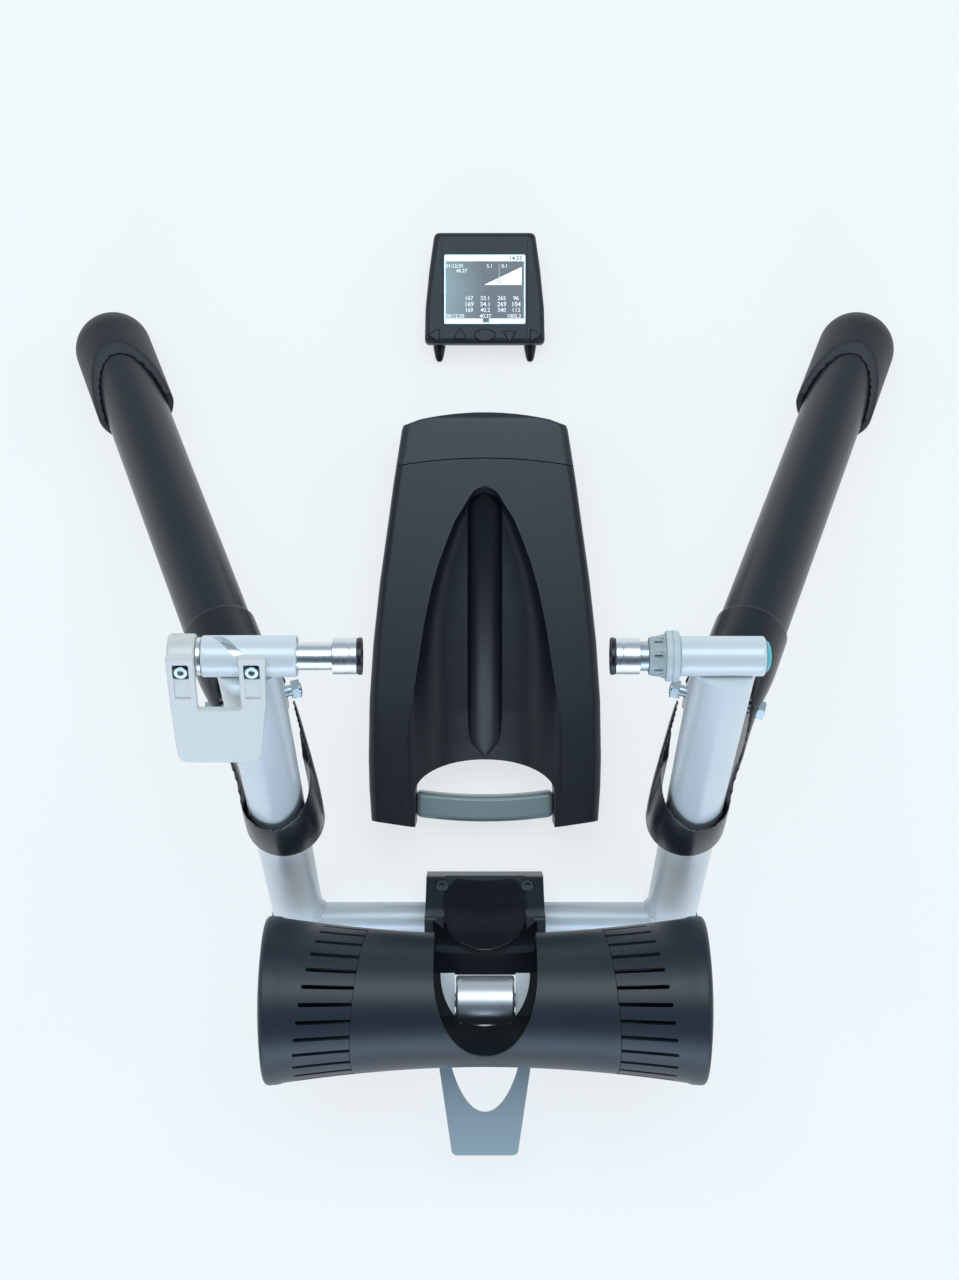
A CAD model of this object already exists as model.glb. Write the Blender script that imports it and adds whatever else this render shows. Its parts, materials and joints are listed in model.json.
"""Dressed model of a folding bike trainer with its front-wheel riser and handlebar console.

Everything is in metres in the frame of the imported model: +X to the rider's right, +Y the way the
bicycle faces, +Z up. Each sub-assembly is a class with its sizes as fields. Its pieces are modelled
with Blender's operators, dressed with a procedural finish and tied to the body that they ride on.
"""

import json
import logging
from dataclasses import dataclass, field
from enum import Enum
from functools import cache
from math import acos, atan2, copysign, cos, dist, pi, radians, sin, sqrt, tan, tau
from typing import Any, Sequence

import bmesh
import bpy
from mathutils import Matrix, Vector

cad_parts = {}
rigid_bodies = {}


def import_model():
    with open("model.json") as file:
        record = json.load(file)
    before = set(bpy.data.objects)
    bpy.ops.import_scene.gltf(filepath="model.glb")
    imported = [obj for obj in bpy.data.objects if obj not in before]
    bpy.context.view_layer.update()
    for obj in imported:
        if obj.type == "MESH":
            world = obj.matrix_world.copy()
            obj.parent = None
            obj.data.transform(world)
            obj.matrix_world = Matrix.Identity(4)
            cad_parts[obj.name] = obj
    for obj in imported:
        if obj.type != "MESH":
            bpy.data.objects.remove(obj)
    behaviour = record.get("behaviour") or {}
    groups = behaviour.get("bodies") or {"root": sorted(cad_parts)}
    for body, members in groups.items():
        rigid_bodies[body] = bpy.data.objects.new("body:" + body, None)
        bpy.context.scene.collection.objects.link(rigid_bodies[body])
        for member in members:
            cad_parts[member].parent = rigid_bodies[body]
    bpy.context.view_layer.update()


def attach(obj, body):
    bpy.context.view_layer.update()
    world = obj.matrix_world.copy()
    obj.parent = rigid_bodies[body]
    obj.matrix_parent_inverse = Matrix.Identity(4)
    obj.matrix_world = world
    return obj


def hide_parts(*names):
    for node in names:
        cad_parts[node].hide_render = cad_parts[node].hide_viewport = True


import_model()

logging.basicConfig(level=logging.INFO, format="%(message)s")
LOG = logging.getLogger("trainer")

Point2 = tuple[float, float]
Point3 = tuple[float, float, float]
Colour = tuple[float, float, float]
Piece = bpy.types.Object

TO_RIGHT = Vector((1.0, 0.0, 0.0))
AXLE = Vector((0.0, 0.028, 0.385))  # middle of the bicycle's rear axle
UNIT = Vector((0.0, -0.228, 0.142))  # middle of the roller
CROSSBAR = Vector((0.0, -0.1835, 0.022))  # middle of the crossbar
LEVER_PIN = Vector((0.0, -0.243, 0.064))  # middle of the foot lever's pin
LEVER_TILT = radians(34.0)  # slope of the clamp lever
SCREW_X = {"outer": -0.1874, "inner": -0.1438}  # where the clamp lever's screws stand


class Side(Enum):
    """Which side of the trainer a piece is on."""

    LEFT = -1
    RIGHT = 1

    @property
    def word(self) -> str:
        """Name of the side in node and body names."""
        return self.name.lower()


class Wire:
    """Shader socket that takes part in Python arithmetic."""

    def __init__(self, graph: "Graph", socket: bpy.types.NodeSocket) -> None:
        """Wrap a socket of a graph."""
        self.graph = graph
        self.socket = socket

    def _math(self, operation: str, first: Any, second: Any = None) -> "Wire":
        """Result of a Math node on one or two values or wires."""
        inputs = [first] if second is None else [first, second]
        return self.graph.add("ShaderNodeMath", {"operation": operation}, dict(enumerate(inputs))).out()

    def __add__(self, other: Any) -> "Wire":
        """Sum."""
        return self._math("ADD", self, other)

    __radd__ = __add__

    def __sub__(self, other: Any) -> "Wire":
        """Difference."""
        return self._math("SUBTRACT", self, other)

    def __rsub__(self, other: Any) -> "Wire":
        """Difference from a number."""
        return self._math("SUBTRACT", other, self)

    def __mul__(self, other: Any) -> "Wire":
        """Product."""
        return self._math("MULTIPLY", self, other)

    def __truediv__(self, other: Any) -> "Wire":
        """Quotient."""
        return self._math("DIVIDE", self, other)

    def __gt__(self, other: Any) -> "Wire":
        """One where this is greater, else zero."""
        return self._math("GREATER_THAN", self, other)

    def __lt__(self, other: Any) -> "Wire":
        """One where this is less, else zero."""
        return self._math("LESS_THAN", self, other)

    def magnitude(self) -> "Wire":
        """Absolute value."""
        return self._math("ABSOLUTE", self)

    def between(self, low: float, high: float) -> "Wire":
        """One inside a span, else zero."""
        return (self > low) * (self < high)

    def ramp(self, low: float, high: float) -> "Wire":
        """Zero at low, one at high, straight between, held outside."""
        inputs = {0: self, 1: low, 2: high, 3: 0.0, 4: 1.0}
        return self.graph.add("ShaderNodeMapRange", {"clamp": True}, inputs).out()


class Placed:
    """Node that has been added to a graph."""

    def __init__(self, graph: "Graph", node: bpy.types.Node) -> None:
        """Keep the node and its graph."""
        self.graph = graph
        self.node = node

    def out(self, key: Any = 0) -> Wire:
        """Wire from one of the node's outputs."""
        return Wire(self.graph, self.node.outputs[key])


class Graph:
    """Node tree of one material."""

    def __init__(self, name: str, world: bool = False) -> None:
        """Start a material, or a world, with nothing but its output.

        Args:
            name: its name.
            world: whether it is a world.
        """
        self.owner = bpy.data.worlds.new(name) if world else bpy.data.materials.new(name)
        self.owner.use_nodes = True
        self.tree = self.owner.node_tree
        self.tree.nodes.clear()
        self.output = self.tree.nodes.new("ShaderNodeOutputWorld" if world else "ShaderNodeOutputMaterial")

    def add(self, kind: str, settings: dict[str, Any] | None = None,
            inputs: dict[Any, Any] | None = None) -> Placed:
        """Add a node.

        Args:
            kind: Blender's node type.
            settings: properties to set first. A ramp's stops are a list of position and colour.
            inputs: values or wires by socket name or number.

        Returns:
            The placed node.
        """
        node = self.tree.nodes.new(kind)
        for key, value in (settings or {}).items():
            if key == "stops":
                while len(node.color_ramp.elements) < len(value):
                    node.color_ramp.elements.new(0.5)
                for element, (position, colour) in zip(node.color_ramp.elements, value):
                    element.position = position
                    element.color = (*colour, 1.0)
            else:
                setattr(node, key, value)
        for key, value in (inputs or {}).items():
            if isinstance(value, Wire):
                self.tree.links.new(value.socket, node.inputs[key])
            elif isinstance(value, tuple) and len(value) == 3 and node.inputs[key].type == "RGBA":
                node.inputs[key].default_value = (*value, 1.0)
            else:
                node.inputs[key].default_value = value
        return Placed(self, node)

    def place(self) -> Wire:
        """Object coordinates."""
        return self.add("ShaderNodeTexCoord").out("Object")

    def axes(self) -> tuple[Wire, Wire, Wire]:
        """X, Y and Z of the object coordinates."""
        split = self.add("ShaderNodeSeparateXYZ", None, {0: self.place()})
        return split.out(0), split.out(1), split.out(2)

    def noise(self, scale: float, detail: float = 2.0, stretch: Point3 = (1.0, 1.0, 1.0)) -> Wire:
        """Noise from 0 to 1 over the object coordinates, stretched along the axes.

        Args:
            scale: how fine the pattern is.
            detail: how many finer layers it has.
            stretch: factors along the axes.

        Returns:
            The noise.
        """
        mapping = self.add("ShaderNodeMapping", None, {"Vector": self.place(), "Scale": stretch})
        inputs = {"Vector": mapping.out(), "Scale": scale, "Detail": detail}
        return self.add("ShaderNodeTexNoise", None, inputs).out(0)

    def blend(self, share: Wire, first: Any, second: Any) -> Wire:
        """Colour between a first one, where the share is zero, and a second one, where it is one."""
        inputs = {0: share, 6: first, 7: second}
        return self.add("ShaderNodeMix", {"data_type": "RGBA"}, inputs).out(2)

    def bump(self, height: Wire, distance: float, strength: float) -> Wire:
        """Normal from a height."""
        inputs = {"Strength": strength, "Distance": distance, "Height": height}
        return self.add("ShaderNodeBump", None, inputs).out("Normal")

    def edges(self) -> Wire:
        """One on outer edges, zero on flats."""
        return self.add("ShaderNodeNewGeometry").out("Pointiness").ramp(0.52, 0.6)

    def close(self, shader: Placed) -> Any:
        """Send a shader to the output and give the finished material or world."""
        self.tree.links.new(shader.node.outputs[0], self.output.inputs[0])
        return self.owner

    def surface(self, inputs: dict[Any, Any]) -> Any:
        """Finish the material with one main shader."""
        return self.close(self.add("ShaderNodeBsdfPrincipled", None, inputs))


@dataclass(frozen=True)
class Moulding:
    """Moulded plastic or rubber with a fine surface texture and slightly worn edges."""

    name: str
    colour: Colour
    worn: Colour
    roughness: float = 0.36
    spread: float = 0.1
    grain: float = 1400.0
    depth: float = 0.00004

    def build(self) -> bpy.types.Material:
        """Make the material.

        Returns:
            The material.
        """
        g = Graph(self.name)
        cloud = g.noise(9.0, 3.0)
        fine = g.noise(self.grain, 2.0)
        base = g.blend(cloud * 0.5, self.colour, self.worn)
        colour = g.blend(g.edges() * 0.35, base, self.worn)
        rough = self.roughness + (cloud - 0.5) * self.spread + (fine - 0.5) * 0.08
        inputs = {"Base Color": colour, "Roughness": rough, "Normal": g.bump(fine, self.depth, 0.6)}
        return g.surface(inputs)


@dataclass(frozen=True)
class Paint:
    """Sprayed metal paint with small flakes and a faint orange peel."""

    name: str
    colour: Colour
    shade: Colour
    metallic: float
    roughness: float
    coat: float = 0.3
    flake: float = 2600.0
    peel: float = 0.00006

    def build(self) -> bpy.types.Material:
        """Make the material.

        Returns:
            The material.
        """
        g = Graph(self.name)
        cloud = g.noise(14.0, 3.0)
        flakes = g.noise(self.flake, 1.0)
        colour = g.blend(cloud * 0.6 + flakes * 0.3, self.colour, self.shade)
        rough = self.roughness + (flakes - 0.5) * 0.14 + (cloud - 0.5) * 0.06
        inputs = {
            "Base Color": colour, "Roughness": rough, "Metallic": self.metallic,
            "Normal": g.bump(g.noise(420.0, 2.0), self.peel, 0.35),
            "Coat Weight": self.coat, "Coat Roughness": 0.12,
        }
        return g.surface(inputs)


@dataclass(frozen=True)
class Steel:
    """Bare or plated steel with turning or brushing marks along chosen axes."""

    name: str
    colour: Colour
    shade: Colour
    roughness: float
    marks: Point3 = (1.0, 1.0, 1.0)
    scale: float = 600.0
    depth: float = 0.00003

    def build(self) -> bpy.types.Material:
        """Make the material.

        Returns:
            The material.
        """
        g = Graph(self.name)
        lines = g.noise(self.scale, 3.0, self.marks)
        cloud = g.noise(30.0, 2.0)
        colour = g.blend(cloud * 0.7, self.colour, self.shade)
        rough = self.roughness + (lines - 0.5) * 0.2 + (cloud - 0.5) * 0.08
        inputs = {
            "Base Color": colour, "Roughness": rough, "Metallic": 1.0,
            "Normal": g.bump(lines, self.depth, 0.5),
        }
        return g.surface(inputs)


@dataclass(frozen=True)
class Display:
    """Lit liquid-crystal screen: title bar, slope picture, table ground and foot bar."""

    name: str
    low: Point2
    high: Point2
    dark: Colour = (0.02, 0.032, 0.048)
    haze: Colour = (0.13, 0.19, 0.205)
    light: Colour = (0.8, 0.86, 0.88)

    def build(self) -> bpy.types.Material:
        """Make the material.

        Returns:
            The material.
        """
        g = Graph(self.name)
        x, y, _ = g.axes()
        width, height = self.high[0] - self.low[0], self.high[1] - self.low[1]
        u = (x - self.low[0]) / width
        v = (y - self.low[1]) / height
        glow = (1.0 - u * 1.9 - (v - 0.5).magnitude() * 0.35).ramp(0.0, 0.95)
        ground = g.blend(glow, self.dark, self.haze)
        span = u.between(0.015, 0.985)
        bars = (v > 0.905) * span + v.between(0.02, 0.078) * span
        notch = u.between(0.475, 0.554) * (v < 0.1)
        slope = u.between(0.49, 0.955) * (v > 0.563) * (v < (u - 0.49) * 0.56 + 0.563)
        post = u.between(0.674, 0.68) * v.between(0.61, 0.87) * (1.0 - slope)
        lit = (bars * (1.0 - notch) + slope + post * 0.5).ramp(0.0, 1.0)
        off_x = x - (self.low[0] + 0.679 * width)
        off_y = y - (self.low[1] + 0.625 * height)
        far = off_x * off_x + off_y * off_y
        colour = g.blend(lit, ground, self.light)
        colour = g.blend(far.between(0.0012 ** 2, 0.0017 ** 2), colour, self.dark)
        inputs = {
            "Base Color": colour, "Roughness": 0.1, "Emission Color": colour,
            "Emission Strength": 0.55, "Coat Weight": 0.6, "Coat Roughness": 0.05,
        }
        return g.surface(inputs)


@dataclass(frozen=True)
class StudioFloor:
    """Plain white floor, pale to the camera and in reflections, with soft shadows."""

    name: str
    colour: Colour = (0.915, 0.945, 0.96)
    cloudy: Colour = (0.87, 0.915, 0.935)
    own_light: float = 0.72

    def build(self) -> bpy.types.Material:
        """Make the material.

        Returns:
            The material.
        """
        g = Graph(self.name)
        colour = g.blend(g.noise(1.4, 2.0) * 0.4, self.colour, self.cloudy)
        matt = g.add("ShaderNodeBsdfPrincipled", None, {"Base Color": colour, "Roughness": 0.55})
        glow = g.add("ShaderNodeEmission", None, {"Color": colour, "Strength": 1.08})
        path = g.add("ShaderNodeLightPath")
        rays = path.out("Is Camera Ray") + path.out("Is Glossy Ray") + path.out("Is Transmission Ray")
        share = rays.ramp(0.0, 1.0) * self.own_light
        mix = g.add("ShaderNodeMixShader", None, {0: share, 1: matt.out(), 2: glow.out()})
        return g.close(mix)


RECIPES = {recipe.name: recipe for recipe in (
    Paint("silver_paint", (0.8, 0.835, 0.85), (0.72, 0.76, 0.78), 0.12, 0.34, 0.2),
    Paint("black_paint", (0.009, 0.013, 0.018), (0.017, 0.023, 0.031), 0.1, 0.34, 0.15),
    Paint("lever_grey", (0.78, 0.755, 0.71), (0.7, 0.68, 0.64), 0.1, 0.42, 0.1),
    Paint("tail_grey", (0.47, 0.57, 0.62), (0.39, 0.48, 0.53), 0.1, 0.4, 0.1),
    Paint("bar_grey", (0.34, 0.42, 0.43), (0.28, 0.35, 0.36), 0.1, 0.36, 0.1),
    Moulding("black_plastic", (0.0055, 0.0075, 0.012), (0.016, 0.021, 0.031), 0.28, 0.08),
    Moulding("riser_black", (0.004, 0.0062, 0.012), (0.011, 0.017, 0.029), 0.4, 0.08),
    Moulding("cap_slate", (0.012, 0.019, 0.03), (0.026, 0.037, 0.054), 0.42, 0.08),
    Moulding("slate_plastic", (0.013, 0.02, 0.029), (0.027, 0.038, 0.053), 0.4, 0.06),
    Moulding("console_plastic", (0.006, 0.01, 0.016), (0.013, 0.02, 0.03), 0.46, 0.06),
    Moulding("black_rubber", (0.01, 0.012, 0.017), (0.026, 0.032, 0.042), 0.5, 0.1, 900.0, 0.0001),
    Moulding("knob_grey", (0.4, 0.45, 0.46), (0.5, 0.55, 0.56), 0.42, 0.08),
    Moulding("flange_grey", (0.58, 0.64, 0.65), (0.66, 0.72, 0.73), 0.4, 0.08),
    Moulding("white_plastic", (0.9, 0.93, 0.94), (0.93, 0.95, 0.96), 0.45, 0.06),
    Moulding("cyan_plastic", (0.015, 0.56, 0.62), (0.12, 0.72, 0.76), 0.28, 0.05),
    Moulding("dark_inside", (0.004, 0.005, 0.007), (0.01, 0.012, 0.016), 0.6, 0.1),
    Moulding("copper_winding", (0.45, 0.2, 0.09), (0.7, 0.38, 0.2), 0.4, 0.1),
    Steel("polished_steel", (0.82, 0.85, 0.87), (0.7, 0.74, 0.77), 0.3, (6.0, 1.0, 1.0), 300.0, 0.000006),
    Steel("zinc_steel", (0.56, 0.63, 0.66), (0.42, 0.5, 0.54), 0.36),
    Steel("dark_steel", (0.06, 0.068, 0.08), (0.03, 0.036, 0.044), 0.38),
    Steel("roller_steel", (0.78, 0.8, 0.81), (0.68, 0.7, 0.71), 0.4, (8.0, 1.0, 1.0), 260.0, 0.000008),
)}


@cache
def material(name: str) -> bpy.types.Material:
    """Material of a finish, made on first use."""
    return RECIPES[name].build()


def rounded(points: Sequence[Point2], radius: float, steps: int = 4, closed: bool = False) -> list[Point2]:
    """Round the corners of a flat line.

    Args:
        points: corners in order.
        radius: how far from a corner its rounding starts.
        steps: pieces in each rounding.
        closed: whether the last point joins the first.

    Returns:
        The line with rounded corners.
    """
    result: list[Point2] = []
    count = len(points)
    for i, point in enumerate(points):
        here = Vector(point)
        before, after = Vector(points[i - 1]), Vector(points[(i + 1) % count])
        back, ahead = before - here, after - here
        open_end = not closed and i in (0, count - 1)
        short = min(back.length, ahead.length) < 1e-9
        if open_end or short or back.normalized().dot(ahead.normalized()) < -0.985:
            result.append(point)
            continue
        start = here + back.normalized() * min(radius, back.length * 0.49)
        end = here + ahead.normalized() * min(radius, ahead.length * 0.49)
        for step in range(steps + 1):
            t = step / steps
            spot = start * (1 - t) ** 2 + here * 2 * t * (1 - t) + end * t ** 2
            result.append((spot.x, spot.y))
    return result


def smooth_line(points: Sequence[Sequence[float]], pieces: int) -> list[tuple[float, ...]]:
    """Points along a smooth curve through control points.

    Args:
        points: control points of any size.
        pieces: pieces between neighbours.

    Returns:
        The points on the curve.
    """
    result: list[tuple[float, ...]] = []
    last = len(points) - 1
    for i in range(last):
        around = (points[max(0, i - 1)], points[i], points[i + 1], points[min(last, i + 2)])
        for step in range(pieces):
            t = step / pieces
            result.append(tuple(
                0.5 * (2 * b + (c - a) * t + (2 * a - 5 * b + 4 * c - d) * t * t
                       + (3 * b - a - 3 * c + d) * t ** 3)
                for a, b, c, d in zip(*around)
            ))
    result.append(tuple(points[last]))
    return result


def row_at(rows: Sequence[tuple[float, ...]], place: float) -> tuple[float, ...]:
    """Values of a table at a place, straight between its rows.

    Args:
        rows: rows of a place and its values, from the highest place to the lowest.
        place: the place.

    Returns:
        The values there.
    """
    for before, after in zip(rows, rows[1:]):
        if place >= after[0]:
            share = (before[0] - place) / (before[0] - after[0])
            return tuple(a + (b - a) * share for a, b in zip(before[1:], after[1:]))
    return rows[-1][1:]


def mirrored(right: list[Point2]) -> list[Point2]:
    """Closed outline from its right half, given from one end of the middle line to the other."""
    return right + [(-x, y) for x, y in reversed(right)]


def along(direction: Vector, origin: Vector) -> Matrix:
    """Matrix whose local Z points along a direction, with its origin at a point."""
    return Matrix.Translation(origin) @ direction.to_track_quat("Z", "Y").to_matrix().to_4x4()


def facing(first: Vector, second: Vector, origin: Vector) -> Matrix:
    """Matrix with its local X and Y along two directions.

    Args:
        first: the way of its X.
        second: the way of its Y.
        origin: its origin.

    Returns:
        The matrix.
    """
    turn = Matrix.Identity(4)
    for column, axis in enumerate((first, second, first.cross(second))):
        turn.col[column][:3] = axis
    turn.translation = origin
    return turn


def beside(middle: Vector, x: float) -> Vector:
    """Point to the right of a middle point, or to the left where x is negative."""
    return middle + Vector((x, 0.0, 0.0))


def rectangle(x_low: float, x_high: float, y_low: float, y_high: float) -> list[Point2]:
    """Corners of a rectangle."""
    return [(x_low, y_low), (x_high, y_low), (x_high, y_high), (x_low, y_high)]


def ellipse(centre: Point2, half_x: float, half_y: float, count: int,
            start: float = 0.0, end: float = tau) -> list[Point2]:
    """Points on an ellipse or an arc of one.

    Args:
        centre: middle of the ellipse.
        half_x: half of its size along X.
        half_y: half of its size along Y.
        count: number of points.
        start: first angle.
        end: last angle.

    Returns:
        The points.
    """
    full = abs(end - start - tau) < 1e-6
    share = count if full else count - 1
    return [
        (centre[0] + half_x * cos(start + (end - start) * i / share),
         centre[1] + half_y * sin(start + (end - start) * i / share))
        for i in range(count)
    ]


def clear() -> None:
    """Leave edit mode and deselect everything."""
    if bpy.context.object and bpy.context.object.mode != "OBJECT":
        bpy.ops.object.mode_set(mode="OBJECT")
    bpy.ops.object.select_all(action="DESELECT")


def pick(obj: Piece) -> None:
    """Make an object the only selected and active one.

    Args:
        obj: the object.
    """
    clear()
    obj.select_set(True)
    bpy.context.view_layer.objects.active = obj


def settle(obj: Piece, name: str) -> Piece:
    """Name an object and move its place into its mesh.

    Args:
        obj: the object.
        name: its name.

    Returns:
        The object.
    """
    pick(obj)
    bpy.ops.object.transform_apply(location=True, rotation=True, scale=True)
    obj.name = name
    obj.data.name = name
    return obj


def mend(obj: Piece, merge: float = 0.00002) -> None:
    """Merge doubled points and turn the faces outwards.

    Args:
        obj: the piece.
        merge: distance within which points are one.
    """
    pick(obj)
    bpy.ops.object.mode_set(mode="EDIT")
    bpy.ops.mesh.select_all(action="SELECT")
    bpy.ops.mesh.remove_doubles(threshold=merge)
    bpy.ops.mesh.normals_make_consistent(inside=False)
    bpy.ops.object.mode_set(mode="OBJECT")


def turned(name: str, profile: Sequence[Point2], origin: Vector, direction: Vector,
           sides: int = 96, ring: bool = False) -> Piece:
    """Grow a round piece from a circle, ring by ring.

    Args:
        name: the piece's name.
        profile: radius and height at each ring, from one end to the other.
        origin: the point of height zero.
        direction: the way the height runs.
        sides: points on a ring.
        ring: whether the last ring closes on the first, as on a tube.

    Returns:
        The piece.
    """
    least = 0.00001
    rows = [(max(radius, least), height) for radius, height in profile]
    if ring:
        rows.append(rows[0])
    clear()
    radius, height = rows[0]
    bpy.ops.mesh.primitive_circle_add(vertices=sides, radius=radius, location=(0, 0, height))
    obj = bpy.context.object
    settle(obj, name)
    bpy.ops.object.mode_set(mode="EDIT")
    bpy.ops.mesh.select_all(action="SELECT")
    for next_radius, next_height in rows[1:]:
        move = {"value": (0, 0, next_height - height)}
        bpy.ops.mesh.extrude_region_move(TRANSFORM_OT_translate=move)
        scale = next_radius / radius
        bpy.ops.transform.resize(value=(scale, scale, 1.0), center_override=(0, 0, next_height))
        radius, height = next_radius, next_height
    bpy.ops.mesh.select_all(action="SELECT")
    bpy.ops.mesh.remove_doubles(threshold=0.00003)
    bpy.ops.mesh.normals_make_consistent(inside=False)
    bpy.ops.object.mode_set(mode="OBJECT")
    obj.matrix_world = along(direction, origin)
    return settle(obj, name)


def rod(name: str, start: Vector, end: Vector, radius: float, sides: int = 64,
        edge: float = 0.0) -> Piece:
    """Solid round bar between two points, with its ends rounded by an edge.

    Args:
        name: the piece's name.
        start: middle of one end.
        end: middle of the other end.
        radius: its radius.
        sides: points on a ring.
        edge: size of the ends' rounding.

    Returns:
        The piece.
    """
    run = end - start
    profile = [(0.0, 0.0), (radius, 0.0), (radius, run.length), (0.0, run.length)]
    if edge:
        profile = rounded(profile, edge)
    return turned(name, profile, start, run, sides)


def cross_rod(name: str, middle: Vector, start: float, end: float, radius: float, sides: int = 64,
              edge: float = 0.0) -> Piece:
    """Solid round bar along X, from one distance beside a middle point to another."""
    return rod(name, beside(middle, start), beside(middle, end), radius, sides, edge)


def collar(name: str, loop: Sequence[Point2], edge: float, origin: Vector, heading: int = 1,
           sides: int = 96, steps: int = 3) -> Piece:
    """Round piece with a hole along X. Its section is radius and distance right, or left at heading -1."""
    profile = rounded(loop, edge, steps, True)
    return turned(name, profile, origin, Vector((heading, 0, 0)), sides, ring=True)


def grown(name: str, rings: Sequence[Sequence[Point3]]) -> Piece:
    """Grow a closed piece from a filled ring by extruding it through more rings.

    Args:
        name: the piece's name.
        rings: rings of points, all of the same count and in step.

    Returns:
        The piece.
    """
    def spot(vert: bmesh.types.BMVert) -> tuple[float, ...]:
        """Rounded place of a point, to find it again after an extrusion."""
        return tuple(round(c, 7) for c in vert.co)

    clear()
    bpy.ops.mesh.primitive_circle_add(vertices=len(rings[0]), radius=1.0, fill_type="NGON")
    obj = bpy.context.object
    for vert, point in zip(obj.data.vertices, rings[0]):
        vert.co = point
    bpy.ops.object.mode_set(mode="EDIT")
    bpy.ops.mesh.select_all(action="SELECT")
    steps = {spot(vert): vert.index for vert in bmesh.from_edit_mesh(obj.data).verts}
    for ring in rings[1:]:
        bpy.ops.mesh.extrude_region_move(TRANSFORM_OT_translate={"value": (0, 0, 0)})
        fresh: dict[tuple[float, ...], int] = {}
        for vert in bmesh.from_edit_mesh(obj.data).verts:
            if vert.select:
                step = steps[spot(vert)]
                vert.co = ring[step]
                fresh[spot(vert)] = step
        steps = fresh
    bmesh.update_edit_mesh(obj.data)
    bpy.ops.mesh.select_all(action="SELECT")
    bpy.ops.mesh.normals_make_consistent(inside=False)
    bpy.ops.object.mode_set(mode="OBJECT")
    return settle(obj, name)


def plate(name: str, outline: Sequence[Point2], low: float, high: float,
          frame_matrix: Matrix | None = None) -> Piece:
    """Flat piece: an outline filled and extruded from one height to another.

    Args:
        name: the piece's name.
        outline: corners in the plate's own X and Y.
        low: lower height.
        high: upper height.
        frame_matrix: where the plate's own axes lie, or None for the world's.

    Returns:
        The piece.
    """
    obj = grown(name, [[(x, y, z) for x, y in outline] for z in (low, high)])
    if frame_matrix is not None:
        obj.matrix_world = frame_matrix
    return settle(obj, name)


def side_plate(name: str, outline_yz: Sequence[Point2], x_low: float, x_high: float) -> Piece:
    """Plate from a side view of Y and Z, between two X values."""
    turn = Matrix(((0, 0, 1, 0), (1, 0, 0, 0), (0, 1, 0, 0), (0, 0, 0, 1)))
    return plate(name, outline_yz, x_low, x_high, turn)


def modify(obj: Piece, kind: str, **settings: Any) -> None:
    """Add a modifier and apply it.

    Args:
        obj: the piece.
        kind: the modifier's type.
        settings: what is set on it.
    """
    pick(obj)
    modifier = obj.modifiers.new(kind.lower(), kind)
    for key, value in settings.items():
        setattr(modifier, key, value)
    bpy.ops.object.modifier_apply(modifier=modifier.name)


def combine(obj: Piece, other: Piece, operation: str) -> None:
    """Cut, join or intersect a piece with another one."""
    modify(obj, "BOOLEAN", operation=operation, solver="EXACT", object=other)


def cut(obj: Piece, *cutters: Piece) -> Piece:
    """Take cutters away from a piece. A cut that adds to the piece is made once more.

    Args:
        obj: the piece.
        cutters: closed pieces to take away, in order.

    Returns:
        The piece.
    """
    for cutter in cutters:
        before, spare = reach(obj), obj.data.copy()
        combine(obj, cutter, "DIFFERENCE")
        if reach(obj) > before + 0.00002:
            obj.data = spare
            mend(obj)
            combine(obj, cutter, "DIFFERENCE")
            LOG.info("cut again: %s", obj.name)
        bpy.data.objects.remove(cutter, do_unlink=True)
    return obj


def reach(obj: Piece) -> float:
    """Length of the diagonal of a piece's box."""
    spots = [vert.co for vert in obj.data.vertices]
    return dist(*[[end(spot[axis] for spot in spots) for axis in range(3)] for end in (min, max)])


def weld(obj: Piece, *others: Piece) -> Piece:
    """Join other pieces to a piece as one solid.

    Args:
        obj: the piece.
        others: the pieces that it takes in.

    Returns:
        The piece.
    """
    for other in others:
        combine(obj, other, "UNION")
        bpy.data.objects.remove(other, do_unlink=True)
    return obj


def soften(obj: Piece, width: float, segments: int = 3, angle: float = 35.0) -> Piece:
    """Round the sharp edges of a piece.

    Args:
        obj: the piece.
        width: width of the rounding.
        segments: faces across it.
        angle: edges flatter than this stay, in degrees.

    Returns:
        The piece.
    """
    modify(
        obj, "BEVEL", width=width, segments=segments, limit_method="ANGLE",
        angle_limit=radians(angle), use_clamp_overlap=True, miter_outer="MITER_ARC",
    )
    return obj


def recast(obj: Piece, voxel: float, passes: int = 5) -> Piece:
    """Turn a piece into one even casting with soft edges.

    Args:
        obj: the piece.
        voxel: size of its faces.
        passes: rounds of smoothing.

    Returns:
        The piece.
    """
    modify(obj, "REMESH", mode="VOXEL", voxel_size=voxel, use_smooth_shade=True)
    modify(obj, "SMOOTH", factor=0.5, iterations=passes)
    return obj


def gather(name: str, pieces: Sequence[Piece]) -> Piece:
    """Join separate pieces into one object.

    Args:
        name: its name.
        pieces: the pieces.

    Returns:
        The object.
    """
    clear()
    for piece in pieces:
        piece.select_set(True)
    bpy.context.view_layer.objects.active = pieces[0]
    bpy.ops.object.join()
    return settle(bpy.context.object, name)


def dress(obj: Piece, finish: str | bpy.types.Material, body: str, *nodes: str, slot: str = "",
          angle: float = 32.0) -> None:
    """Finish a piece and tie it to its body.

    Args:
        obj: the piece.
        finish: name of a finish, or a material.
        body: the body that it rides on.
        nodes: model nodes that it stands for.
        slot: the record's material slot, where it isn't the finish's own name.
        angle: edges flatter than this are shaded smooth.
    """
    pick(obj)
    bpy.ops.object.shade_smooth_by_angle(angle=radians(angle))
    modify(obj, "WEIGHTED_NORMAL", keep_sharp=True, weight=80)
    obj.data.materials.clear()
    obj.data.materials.append(material(finish) if isinstance(finish, str) else finish)
    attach(obj, body)
    if nodes:
        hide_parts(*nodes)


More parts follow.
